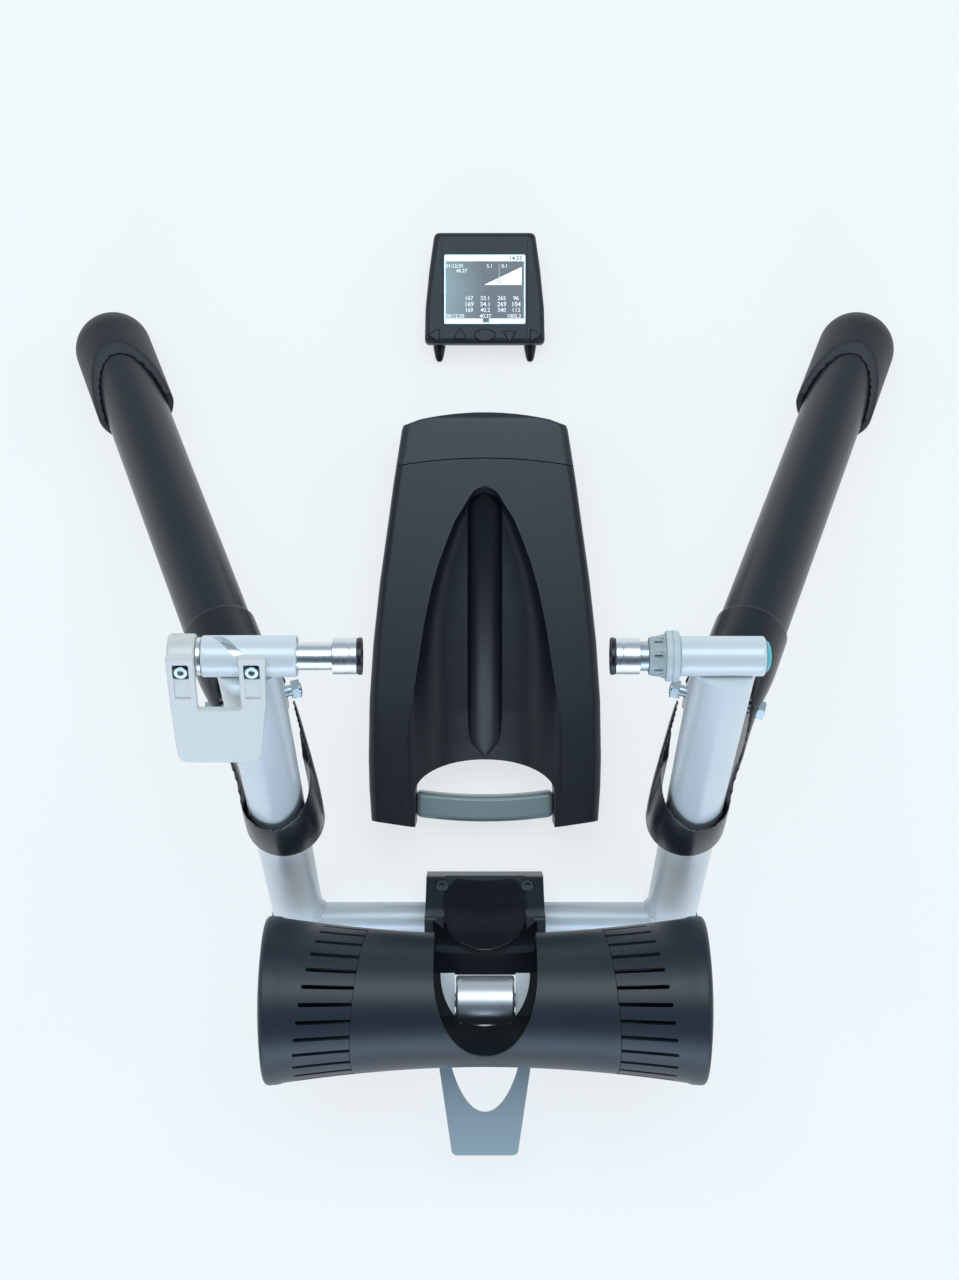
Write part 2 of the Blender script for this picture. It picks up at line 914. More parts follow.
UPRIGHT_X = 0.149  # how far out an upright's middle line stands
UPRIGHT_R = 0.02  # radius of an upright
UPRIGHT_UP = Vector((0.0, 0.208, 0.3704)).normalized()  # way up an upright
PIN_TURN = radians(14.0)  # how far a leg hinge's pin is turned to the rear
PIN_HEIGHT = 0.249  # height of a leg hinge's pin
LEG_TOP = Vector((0.1875, 0.045, 0.212))  # right leg's middle line under its yoke
LEG_FOOT = Vector((0.2945, 0.268, 0.028))  # right leg's middle line in its shoe


def upright_point(side: Side, height: float) -> Vector:
    """Point on an upright's centre line at a height."""
    y = AXLE.y + (height - AXLE.z) * UPRIGHT_UP.y / UPRIGHT_UP.z
    return Vector((side.value * UPRIGHT_X, y, height))


def leg_point(side: Side, height: float) -> Vector:
    """Point on a leg's centre line at a height."""
    point = LEG_FOOT + (LEG_TOP - LEG_FOOT) * (height - LEG_FOOT.z) / (LEG_TOP.z - LEG_FOOT.z)
    return Vector((side.value * point.x, point.y, point.z))


def leg_up(side: Side) -> Vector:
    """Unit vector up a leg from its shoe to its hinge."""
    return (leg_point(side, LEG_TOP.z) - leg_point(side, LEG_FOOT.z)).normalized()


def pin_centre(side: Side) -> Vector:
    """Middle of a leg hinge."""
    return Vector((side.value * 0.16, -0.003, PIN_HEIGHT))


def pin_outward(side: Side) -> Vector:
    """Unit vector along a leg hinge, away from the wheel."""
    return Vector((side.value * cos(PIN_TURN), -sin(PIN_TURN), 0.0))


LEVER_OUT = Vector((0.0, -sin(LEVER_TILT), cos(LEVER_TILT)))  # way off the clamp lever's plate
LEVER_DOWN = Vector((0.0, -cos(LEVER_TILT), -sin(LEVER_TILT)))  # way down its plate


def lever_point(x: float, down: float, out: float) -> Vector:
    """Point on the clamp lever: along X, down its plate and off the axle line."""
    return beside(AXLE, x) + LEVER_DOWN * down + LEVER_OUT * out


@dataclass
class Stand:
    """Uprights, crossbar, barrels, rear feet, hinge lugs and the rest stay."""

    wall: float = 0.002
    foot_cut: float = 0.008
    crossbar_r: float = 0.0125
    foot_r: float = 0.0222
    mitre: float = radians(40.0)
    barrel_r: dict[Side, float] = field(default_factory=lambda: {Side.LEFT: 0.013, Side.RIGHT: 0.0125})
    gap: float = 0.0003

    def build(self) -> None:
        """Make every piece that stays still."""
        for side in Side:
            self.upright(side)
            self.rear_foot(side)
            self.hinge(side)
        self.crossbar()
        self.left_barrel()
        self.right_barrel()
        self.stay()

    def upright(self, side: Side) -> None:
        """Upright tube, mitred under its barrel.

        Args:
            side: which side.
        """
        start = upright_point(side, 0.0) - UPRIGHT_UP * 0.02
        length = (upright_point(side, AXLE.z) + UPRIGHT_UP * 0.03 - start).length
        bore, depth = UPRIGHT_R - self.wall, 0.06
        profile = [(0.0, depth), (bore, depth), (bore, 0.0)]
        profile += [(UPRIGHT_R, 0.0), (UPRIGHT_R, length), (0.0, length)]
        tube = turned(f"upright_tube_{side.word}", profile, start, UPRIGHT_UP, 128)
        if side is Side.LEFT:
            room = rectangle(-0.01, 0.06, 0.0128, 0.04)
            corners = [lever_point(-UPRIGHT_X, down, out) for down, out in room]
            cut(tube, side_plate("lever_room", [(p.y, p.z) for p in corners], -0.2, -0.1))
        centre = beside(AXLE, side.value * UPRIGHT_X)
        normal = Vector((0.0, sin(self.mitre), cos(self.mitre)))
        cut(
            tube, rod("mitre", centre - normal * 0.0085, centre + normal * 0.1, 0.08, 24),
            cross_rod("cope", AXLE, side.value * 0.1, side.value * 0.2, self.barrel_r[side] - 0.0004, 96),
            plate("floor_cut", rectangle(-0.3, 0.3, -0.3, 0.0), -0.1, self.foot_cut),
        )
        dress(tube, "silver_paint", "frame", f"upright_{side.word}")

    def rear_foot(self, side: Side) -> None:
        """Rubber plug under an upright with a rounded sole.

        Args:
            side: which side.
        """
        centre = upright_point(side, 0.0)
        levels = (
            (0.0, 0.0016), (0.0006, 0.0006), (0.0018, 0.0), (0.0058, 0.0), (0.0071, 0.0006), (0.0077, 0.0016),
        )
        rings = []
        for z, inset in levels:
            radius, y = self.foot_r - inset, centre.y + z * UPRIGHT_UP.y / UPRIGHT_UP.z
            rim = ellipse((centre.x, y), radius, radius / UPRIGHT_UP.z, 72)
            rings.append([(*spot, z) for spot in rim])
        foot = grown(f"rear_plug_{side.word}", rings)
        plug = rod("plug", upright_point(side, 0.004), upright_point(side, 0.03), 0.0177)
        cut(plug, plate("under", rectangle(-0.3, 0.3, -0.3, 0.0), -0.1, 0.005))
        weld(foot, plug)
        dress(foot, "black_rubber", "frame", f"rear_foot_{side.word}")

    def crossbar(self) -> None:
        """Tube between the uprights with a weld bead at each end."""
        end = UPRIGHT_X - 0.006
        profile = rectangle(self.crossbar_r - self.wall, self.crossbar_r, 0.0, 2 * end)
        bar = turned("crossbar_tube", profile, beside(CROSSBAR, -end), TO_RIGHT, ring=True)
        for side in Side:
            low, high = upright_point(side, -0.06), upright_point(side, 0.12)
            cut(bar, rod("cope", low, high, UPRIGHT_R - 0.0002, 96))
        dress(bar, "silver_paint", "frame", "crossbar")
        for side in Side:
            self.bead(side)

    def bead(self, side: Side) -> None:
        """Rippled weld where the crossbar meets an upright.

        Args:
            side: which side.
        """
        clear()
        bpy.ops.mesh.primitive_torus_add(
            major_segments=120, minor_segments=12, major_radius=self.crossbar_r + 0.0006, minor_radius=0.0019,
        )
        ring = bpy.context.object
        axis = upright_point(side, 0.0)
        ring.matrix_world = along(TO_RIGHT, CROSSBAR)
        settle(ring, f"weld_bead_{side.word}")
        for vert in ring.data.vertices:
            height = Vector((vert.co.y - CROSSBAR.y, vert.co.z - CROSSBAR.z))
            off_axis = (vert.co.y - axis.y) * UPRIGHT_UP.z - (vert.co.z - axis.z) * UPRIGHT_UP.y
            depth = sqrt(max(0.0, (UPRIGHT_R + 0.0004) ** 2 - off_axis ** 2))
            ripple = 0.0003 * sin(14 * atan2(height.y, height.x))
            vert.co.x = side.value * (UPRIGHT_X - depth - ripple) + vert.co.x
        dress(ring, "silver_paint", "frame")

    def left_barrel(self) -> None:
        """Quick-clamp barrel with its slanting cam slot."""
        x_out, x_in = -0.176, -0.117
        loop = rectangle(0.00895, self.barrel_r[Side.LEFT], 0.0, x_in - x_out)
        barrel = collar("quick_barrel", loop, 0.0014, beside(AXLE, x_out), 1, 128, 4)
        rings = []
        lead = 0.02 / radians(90.0)
        step = TO_RIGHT * 0.0036
        for i in range(49):
            swing = radians(-13.0 + 116.0 * i / 48)
            angle = swing - LEVER_TILT
            outward = Vector((0.0, sin(angle), cos(angle)))
            centre = beside(AXLE, SCREW_X["inner"] - lead * swing)
            inner, outer = centre + outward * 0.0065, centre + outward * 0.0155
            rings.append([tuple(inner - step), tuple(outer - step), tuple(outer + step), tuple(inner + step)])
        cut(barrel, grown("cam_slot", rings))
        dress(barrel, "silver_paint", "frame", "clamp_barrel")

    def right_barrel(self) -> None:
        """Adjuster barrel with its coloured end cap."""
        x_in, x_out, outer = 0.1196, 0.173, self.barrel_r[Side.RIGHT]
        length = x_out - x_in
        loop = [(0.0081, 0.0), (outer, 0.0), (outer, length - 0.0012), (0.0103, length), (0.0081, length)]
        barrel = collar("screw_barrel", loop, 0.001, beside(AXLE, x_in), 1, 128, 4)
        dress(barrel, "silver_paint", "frame", "adjuster_barrel")
        dome = [(0.0, -0.006), (0.0078, -0.006), (0.0078, 0.0), (0.0097, 0.0)]
        dome += [(0.0097 * cos(a), 0.0033 * sin(a)) for a in map(radians, range(10, 91, 10))]
        cap = turned("barrel_cap", dome, beside(AXLE, x_out + self.gap), TO_RIGHT, 72)
        dress(cap, "cyan_plastic", "frame", "barrel_end_cap")

    def hinge(self, side: Side) -> None:
        """Lug in front of an upright with the bolt and nut of a leg hinge.

        Args:
            side: which side.
        """
        outward = pin_outward(side)
        centre = pin_centre(side) - outward * 0.0024
        lug = rod(f"lug_{side.word}", centre - outward * 0.0205, centre + outward * 0.0205, 0.012, 72, 0.0008)
        run = upright_point(side, PIN_HEIGHT) - centre
        length = run.length
        run.normalize()
        corners = [(-0.003, -0.0115), (length, -0.0115), (length - 0.01, 0.0115), (-0.003, 0.0115)]
        weld(lug, plate("web", corners, -0.015, 0.015, facing(run, Vector((0, 0, 1)), centre)))
        low, high = upright_point(side, 0.149), upright_point(side, 0.349)
        tube = rod("tube_room", low, high, UPRIGHT_R - 0.0002, 96)
        bore = rod("bore", centre - outward * 0.05, centre + outward * 0.05, 0.0043, 32)
        cut(lug, tube, bore)
        dress(lug, "silver_paint", "frame", f"hinge_lug_{side.word}")
        self.bolt(side)

    def bolt(self, side: Side) -> None:
        """Hexagon bolt and nut of a leg hinge, with a washer face and chamfered corners.

        Args:
            side: which side.
        """
        centre, outward = pin_centre(side), pin_outward(side)
        near, far = centre - outward * 0.0345, centre + outward * 0.0275
        shank = rod(f"hinge_pin_{side.word}", near, far, 0.004, 40, 0.0006)
        weld(shank, self.hexagon("head", centre + outward * 0.0267, centre + outward * 0.0319))
        mend(shank, 0.00004)
        dress(shank, "zinc_steel", "frame", f"hinge_bolt_{side.word}", angle=25.0)
        nut = self.hexagon(f"hinge_hexnut_{side.word}", centre - outward * 0.0283, centre - outward * 0.0335)
        cut(nut, rod("bore", centre - outward * 0.02, centre - outward * 0.05, 0.0042, 32))
        mend(nut, 0.00004)
        dress(nut, "zinc_steel", "frame", f"hinge_nut_{side.word}", angle=25.0)

    @staticmethod
    def hexagon(name: str, start: Vector, end: Vector) -> Piece:
        """Hexagon block with its corners turned off at both ends.

        Args:
            name: the piece's name.
            start: middle of one end.
            end: middle of the other end.

        Returns:
            The block.
        """
        run, radius = end - start, 0.0072
        clear()
        bpy.ops.mesh.primitive_cylinder_add(vertices=6, radius=radius, depth=run.length)
        block = bpy.context.object
        block.matrix_world = along(run, (start + end) / 2)
        settle(block, name)
        small, wide, length = radius * 0.9, radius * 1.02, run.length
        profile = [(0.0, 0.0), (small, 0.0), (wide, 0.0009)]
        profile += [(wide, length - 0.0009), (small, length), (0.0, length)]
        chamfer = turned("chamfer", profile, start, run, 48)
        combine(block, chamfer, "INTERSECT")
        bpy.data.objects.remove(chamfer, do_unlink=True)
        return block

    def stay(self) -> None:
        """Forked stay under the brake unit."""
        outline = rounded(
            [(-0.1875, 0.02), (-0.206, 0.02), (-0.226, 0.0445), (-0.277, 0.0445), (-0.277, 0.048),
             (-0.2275, 0.048), (-0.2075, 0.0245), (-0.1875, 0.0245)], 0.003, closed=True,
        )
        stay = side_plate("fork_stay", outline, -0.0384, 0.0384)
        window = plate("window", rectangle(-0.0344, 0.0344, -0.3, -0.2085), 0.0, 0.1)
        cut(stay, window, cross_rod("cope", CROSSBAR, -0.1, 0.1, self.crossbar_r, 72))
        soften(stay, 0.0006, 2, 50)
        dress(stay, "zinc_steel", "frame", "rest_stay")


@dataclass
class FoldingLeg:
    """One leg: painted tube, cast yoke and rubber shoe."""

    side: Side
    tube_r: float = 0.024
    wall: float = 0.0025
    shoe_r: float = 0.0298
    saddle_r: float = 0.0288
    voxel: float = 0.001

    @property
    def body(self) -> str:
        """Body that the leg rides on."""
        return f"{self.side.word}_leg"

    def build(self) -> None:
        """Make the leg."""
        self.tube()
        self.yoke()
        self.shoe()

    def tube(self) -> None:
        """Painted leg tube."""
        direction = leg_up(self.side)
        start = leg_point(self.side, 0.034)
        length = (leg_point(self.side, LEG_TOP.z) + direction * 0.016 - start).length
        profile = rectangle(self.tube_r - self.wall, self.tube_r, 0.0, length)
        tube = turned(f"painted_leg_{self.side.word}", profile, start, direction, 128, ring=True)
        dress(tube, "black_paint", self.body, f"leg_tube_{self.side.word}")

    def yoke(self) -> None:
        """Cast yoke from the leg's socket past the upright to the saddle behind it."""
        side, sign, word = self.side, self.side.value, self.side.word
        up, outward, pin = leg_up(side), pin_outward(side), pin_centre(side)
        start = leg_point(side, LEG_TOP.z)
        low = upright_point(side, 0.17)
        inward = Vector((sign * 0.0042, 0.0, 0.0))
        stations = [
            (start, 0.0262, 0.0262, 2.0), (start + up * 0.02, 0.0262, 0.0262, 2.1),
            (start + up * 0.043, 0.0266, 0.0264, 2.5),
            (pin - outward * 0.0008 + Vector((0.0, 0.0, -0.001)), 0.0272, 0.0262, 2.8),
            (Vector((sign * 0.1518, -0.033, 0.24)), 0.0276, 0.0262, 2.7),
            (Vector((sign * 0.1476, -0.055, 0.219)), 0.0276, 0.0268, 2.4),
            (low + UPRIGHT_UP * 0.03 - inward, self.saddle_r, self.saddle_r, 2.1),
            (low - inward, self.saddle_r, self.saddle_r, 2.0),
        ]
        rings = []
        last = len(stations) - 1
        for i, (centre, *shape) in enumerate(stations):
            if i <= 1:
                heading = up
            elif i >= last - 1:
                heading = -UPRIGHT_UP
            else:
                heading = (stations[i + 1][0] - stations[i - 1][0]).normalized()
            across = outward.lerp(Vector((sign, 0.0, 0.0)), min(1.0, max(0.0, (i - 4) / 2.0)))
            across = (across - heading * across.dot(heading)).normalized()
            rise = across.cross(heading).normalized() * sign
            rings.append([tuple(self.corner(centre, across, rise, *shape, k)) for k in range(48)])
        rings = self.held_ends(rings)
        yoke = grown(f"cast_yoke_{word}", rings)
        modify(yoke, "SUBSURF", levels=2, render_levels=2)
        cut(yoke, *self.yoke_rooms())
        recast(yoke, self.voxel, 4)
        dress(yoke, "black_plastic", self.body, f"leg_yoke_{word}", angle=60.0)

    @staticmethod
    def corner(centre: Vector, across: Vector, rise: Vector, a: float, b: float, power: float,
               step: int) -> Vector:
        """Point of a rounded-box ring of 48.

        Args:
            centre: middle of the ring.
            across: way of the first half size.
            rise: way of the second half size.
            a: first half size.
            b: second half size.
            power: 2 for an ellipse, more for a squarer ring.
            step: number of the point.

        Returns:
            The point.
        """
        angle = tau * step / 48
        cosine, sine = cos(angle), sin(angle)
        return (centre + across * a * copysign(abs(cosine) ** (2.0 / power), cosine)
                + rise * b * copysign(abs(sine) ** (2.0 / power), sine))

    @staticmethod
    def held_ends(rings: list[list[Point3]]) -> list[list[Point3]]:
        """Rings with a near copy inside each end, which keeps the ends square when smoothed.

        Args:
            rings: the rings.

        Returns:
            The rings and their near copies.
        """
        def towards(first: list[Point3], second: list[Point3]) -> list[Point3]:
            """Ring a little way from one ring to another."""
            return [tuple(Vector(a).lerp(Vector(b), 0.06)) for a, b in zip(first, second)]

        def shrunk(ring: list[Point3]) -> list[Point3]:
            """Ring drawn in a little."""
            middle = sum((Vector(point) for point in ring), Vector()) / len(ring)
            return [tuple(middle + (Vector(point) - middle) * 0.97) for point in ring]

        first, last = rings[0], rings[-1]
        return [shrunk(first), first, towards(first, rings[1])] + rings[1:-1] + [
            towards(last, rings[-2]), last, shrunk(last)]

    def swept_view(self) -> list[Point2]:
        """Side view of the room that the upright needs inside the yoke.

        Returns:
            Its corners, as Y and Z.
        """
        pin = Vector((-0.003, PIN_HEIGHT))
        fold = radians(70.0)
        folded = atan2(UPRIGHT_UP.z, UPRIGHT_UP.y) + fold - pi
        near = pin + Vector((sin(folded), -cos(folded))) * 0.0166
        slope = Vector((cos(folded), sin(folded)))
        low, high = upright_point(self.side, 0.14), upright_point(self.side, 0.335)
        points = [(low.y, low.z), (high.y, high.z), (pin.x + 0.015, 0.335)]
        for degrees in (0.0, -10.0, -20.0, -30.0):
            angle = radians(degrees)
            points.append((pin.x + 0.015 * cos(angle), pin.y + 0.015 * sin(angle)))
        swung = Matrix.Rotation(fold, 2)
        for back in (0.01, 0.026):
            spot = pin + swung @ Vector((-back, -0.0127))
            points.append((spot.x, spot.y))
        for distance in (0.026, 0.11):
            spot = near + slope * distance
            points.append((spot.x, spot.y))
        return points + [(points[-1][0], 0.1), (low.y - 0.01, 0.1)]

    def yoke_rooms(self) -> list[Piece]:
        """Cutters for the slot, mouth, seat, socket and pin.

        Returns:
            The cutters.
        """
        side, sign = self.side, self.side.value
        centre, outward = pin_centre(side), pin_outward(side)
        up = Vector((0, 0, 1))
        forward = up.cross(Matrix.Rotation(sign * radians(5.5), 3, "Z") @ outward)
        flat = [((y + 0.003) / forward.y, z - PIN_HEIGHT) for y, z in self.swept_view()]
        slot = plate("slot", flat, -0.0233, 0.0233, facing(forward, up, centre - outward * 0.0024))
        behind = centre - Vector((sign * sin(PIN_TURN), cos(PIN_TURN), 0.0)) * 0.03
        recess = rod("recess", behind - outward * 0.0264, behind - outward * 0.012, 0.029)
        lip = [(-0.145, 0.2335), (-0.051, 0.2335), (-0.022, 0.274), (-0.022, 0.34), (-0.145, 0.34)]
        mouth = side_plate("mouth", lip, sign * UPRIGHT_X - 0.06, sign * UPRIGHT_X + 0.06)
        seat = rod("seat", upright_point(side, 0.12), upright_point(side, 0.34), UPRIGHT_R + 0.0003, 96)
        low, high = upright_point(side, 0.196), upright_point(side, 0.2375)
        length = (high - low).length
        cone = [(0.0, length), (0.0276, length), (0.0225, 0.0), (0.0, -0.012)]
        funnel = turned("funnel", cone, low - Vector((0.0, 0.0012, 0.0)), UPRIGHT_UP)
        start, leg = leg_point(side, LEG_TOP.z), leg_up(side)
        socket = rod("socket", start - leg * 0.01, start + leg * 0.0163, self.tube_r + 0.0002, 96)
        bore = rod("bore", centre - outward * 0.05, centre + outward * 0.05, 0.0043, 32)
        spots = [
            rod("spot", centre + outward * away, centre + outward * (away * 1.7), 0.0088, 48)
            for away in (-0.028, 0.0264)
        ]
        sweeps = []
        for degrees in (4.0, 9.0):
            fold = Matrix.Rotation(radians(degrees), 3, outward * sign)
            ends = [centre + fold @ (upright_point(side, height) - centre) for height in (0.12, 0.34)]
            sweeps.append(rod("sweep", *ends, UPRIGHT_R + 0.0009))
        return [slot, recess, mouth, seat, funnel, socket, bore] + sweeps + spots

    def shoe(self) -> None:
        """Rubber shoe, open on top like a clog, with a rolled lip."""
        side, sign = self.side, self.side.value
        direction = leg_up(side)
        toe = leg_point(side, 0.0275)
        length = (0.216 - toe.y) / direction.y
        radius = self.shoe_r
        profile = [(0.0, -radius)]
        profile += [(radius * cos(a), -radius * sin(a)) for a in map(radians, range(84, -1, -6))]
        profile += [(radius, length), (0.0, length)]
        shoe = turned(f"rubber_shoe_{side.word}", profile, toe, direction)
        low, high = (Vector((toe.x, toe.y - 0.004, z)) for z in (0.0, 0.024))
        weld(shoe, rod("pad", low, high, 0.0275, 72))
        floor = plate("floor", rectangle(-0.4, 0.4, 0.1, 0.4), -0.1, 0.0)
        start = leg_point(side, 0.034) - direction * 0.0003
        pocket = rod("pocket", start, start + direction * 0.2, self.tube_r + 0.0003, 96)
        slope = tan(radians(9.5))
        line = [(0.334, 0.064 - 0.06 * slope), (0.334, 0.2), (0.136, 0.2), (0.136, 0.064 + 0.138 * slope)]
        low, high = sorted((sign * 0.2, sign * 0.4))
        cut(shoe, floor, pocket, side_plate("mouth", line, low, high))
        recast(shoe, self.voxel, 5)
        dress(shoe, "black_rubber", self.body, f"leg_shoe_{side.word}", angle=60.0)


@dataclass
class QuickClamp:
    """Quick clamp: rod, cup, cup band, two-armed lever and its screws."""

    seat: float = 0.0135
    thick: float = 0.0048

    def build(self) -> None:
        """Make the clamp."""
        self.rod_and_cup()
        self.lever()
        for word, x in SCREW_X.items():
            self.screw(word, x)

    def rod_and_cup(self) -> None:
        """Sliding rod with its disc, and the cup with its dark band."""
        base = -0.1923
        steps = (
            (0.005, -0.1791), (0.0118, -0.1763), (0.00865, -0.1473), (0.0056, -0.1403), (0.00865, -0.0953),
        )
        stops, x = [(0.0, 0.0)], base
        for radius, end in steps:
            stops += [(radius, x - base), (radius, end - base)]
            x = end
        stops.append((0.0, x - base))
        slider = turned("sliding_rod", rounded(stops, 0.0004, 2), beside(AXLE, base), TO_RIGHT)
        dress(slider, "polished_steel", "clamp_slider", "clamp_rod")
        Cup("quick", -1, "clamp_slider", "clamp_cup").build()

    def lever(self) -> None:
        """Two-armed plate with rounded edges, screw pockets and a turned hub."""
        top, end = -0.0105, 0.0692
        left, right = -0.1962, -0.135
        window_l, window_r = left + 0.0172, right - 0.0168
        flat = [
            (left, top), (left + 0.0003, top + 0.03), (left + 0.0014, end - 0.014), (left + 0.0022, end),
            (right - 0.0072, end), (right - 0.0052, end - 0.016), (right - 0.0014, top + 0.034), (right, top),
            (window_r, top), (window_r, top + 0.039), (window_l, top + 0.039), (window_l, top),
        ]
        outline: list[Point2] = []
        radii = (0.001, 0.02, 0.01, 0.0085, 0.0085, 0.01, 0.02, 0.001, 0.001, 0.0022, 0.0022, 0.001)
        for i, radius in enumerate(radii):
            trio = [flat[i - 1], flat[i], flat[(i + 1) % len(flat)]]
            outline += rounded(trio, radius, 6)[1:-1]
        turn = facing(TO_RIGHT, LEVER_DOWN, AXLE)  # its Z points from the plate at the axle
        lever = plate("quick_lever", outline, -self.seat - self.thick, -self.seat, turn)
        soften(lever, 0.0009, 3, 50)
        start, end, face = -0.1966, -0.1794, self.seat + self.thick
        cut(lever, cross_rod("sweep", AXLE, end, -0.1, self.seat, 96))
        weld(lever, cross_rod("hub", AXLE, start, end, 0.0141, 96, 0.002))
        cut(lever, cross_rod("bore", AXLE, start + 0.0037, end + 0.01, 0.0053, 48))
        for word, x in SCREW_X.items():
            track = rectangle(x - 0.0048, x + 0.0048, 0.004, 0.02)
            pocket = rectangle(x - 0.005, x + 0.005, -0.0056, 0.0056)
            for name, shape, depth in (("track", track, 0.0012), ("pocket", pocket, 0.0026)):
                cut(lever, plate(name, rounded(shape, 0.0013, 3, True), -0.03, depth - face, turn))
            above = lever_point(x, 0.0, 0.03)
            shank = rod("shank", lever_point(x, 0.0, 0.004), above, 0.0021, 32)
            cut(lever, shank, rod("head", lever_point(x, 0.0, face - 0.004), above, 0.0044, 48))
            inset = rounded([(a * 0.999 + x * 0.001, d * 0.97) for a, d in pocket], 0.0013, 3, True)
            lining = plate(f"pocket_lining_{word}", inset, 0.0022 - face, 0.0025 - face, turn)
            cut(lining, rod("head", lever_point(x, 0.0, 0.0), above, 0.0043, 48))
            dress(lining, "dark_steel", "lever_arm", slot="lever_grey")
        mend(lever, 0.00004)
        dress(lever, "lever_grey", "lever_arm", "clamp_lever")

    def screw(self, word: str, x: float) -> None:
        """Socket screw with a rounded head and hexagon socket.

        Args:
            word: outer or inner.
            x: where it stands.
        """
        tip, head = 0.0059 if word == "inner" else 0.0056, 0.004
        length = self.seat + self.thick + 0.0003 - tip
        grip = length - head
        stops = [(0.0, 0.0), (0.0018, 0.0), (0.0018, grip), (0.0042, grip), (0.0042, length), (0.0, length)]
        foot = lever_point(x, 0.0, tip)
        screw = turned(f"cap_screw_{word}", rounded(stops, 0.0005, 3), foot, LEVER_OUT, 64)
        low, high = lever_point(x, 0.0, tip + length - 0.0024), lever_point(x, 0.0, 0.03)
        cut(screw, rod("socket", low, high, 0.0022, 6))
        dress(screw, "zinc_steel", "lever_arm", f"lever_screw_{word}", angle=25.0)


@dataclass
class Cup:
    """Cup that presses on one end of the axle, with a dark grip band on its mouth."""

    word: str
    sign: int
    body: str
    node: str

    def build(self) -> None:
        """Make the cup and its band."""
        length, mouth, rim = 0.015, 0.0082, 0.0114
        stops = [
            (0.0, length - 0.011), (0.006, length - 0.009), (mouth, length - 0.0035), (mouth, length),
            (rim, length), (rim, length - 0.004), (0.011, length - 0.0048), (rim, length - 0.0056),
            (rim, 0.0), (0.0, 0.0),
        ]
        origin = beside(AXLE, self.sign * 0.095)
        cup = turned(f"{self.word}_cup", rounded(stops, 0.0005, 2), origin, Vector((-self.sign, 0, 0)))
        dress(cup, "polished_steel", self.body, self.node)
        loop, origin = rectangle(mouth, 0.0117, 0.0, 0.0029), beside(AXLE, self.sign * 0.0797)
        band = collar(f"{self.word}_cup_ring", loop, 0.0008, origin, -self.sign)
        dress(band, "black_plastic", self.body, f"{self.node}_band")


@dataclass
class Adjuster:
    """Screw adjuster: threaded rod, cup and panelled knob."""

    panels: int = 8

    def build(self) -> None:
        """Make the adjuster."""
        Cup("screw", 1, "adjuster_slider", "adjuster_cup").build()
        self.rod()
        self.knob()

    def rod(self) -> None:
        """Rod with a rolled thread outside the barrel."""
        start, end, pitch = 0.0953, 0.163, 0.0015
        stops = [(0.0, 0.0), (0.0092, 0.0), (0.0092, 0.1002 - start), (0.007, 0.1002 - start)]
        x = 0.1008
        while x < end - 0.002:
            stops += [(0.0076, x - start), (0.007, x + pitch / 2 - start)]
            x += pitch
        stops += [(0.007, end - start), (0.0, end - start)]
        screw = turned("screw_rod", stops, beside(AXLE, start), TO_RIGHT, 72)
        dress(screw, "zinc_steel", "adjuster_slider", "adjuster_rod")

    def knob(self) -> None:
        """Panelled cone with dark slits, and its lighter round flange."""
        start, shoulder, end = 0.1005, 0.1108, 0.1193
        bore, cone = 0.0079, shoulder - start
        loop = [(bore, 0.0), (0.0118, 0.0), (0.014, cone), (bore, cone)]
        knob = collar("panel_knob", loop, 0.0009, beside(AXLE, start), steps=4)
        for i in range(self.panels):
            angle = tau * i / self.panels
            outward = Vector((0.0, sin(angle), cos(angle)))
            turn = facing(TO_RIGHT, outward.cross(TO_RIGHT), beside(AXLE, start + 0.0055) + outward * 0.0116)
            panel = rounded(rectangle(-0.0034, 0.0034, -0.003, 0.003), 0.0008, 3, True)
            slit = rounded(rectangle(-0.0026, 0.0026, -0.0009, 0.0009), 0.0004, 2, True)
            cut(
                knob, plate("panel", panel, 0.0008, 0.006, turn), plate("slit", slit, -0.0018, 0.006, turn),
            )
        dress(knob, "knob_grey", "knob", "adjuster_knob")
        origin = beside(AXLE, shoulder)
        flange = collar("knob_flange", rectangle(bore, 0.01585, 0.0, end - shoulder), 0.0013, origin, steps=5)
        groove = rectangle(0.0152, 0.0165, 0.0036, 0.0044)
        cut(flange, turned("groove", groove, origin, TO_RIGHT, ring=True))
        dress(flange, "flange_grey", "knob", slot="knob_grey")


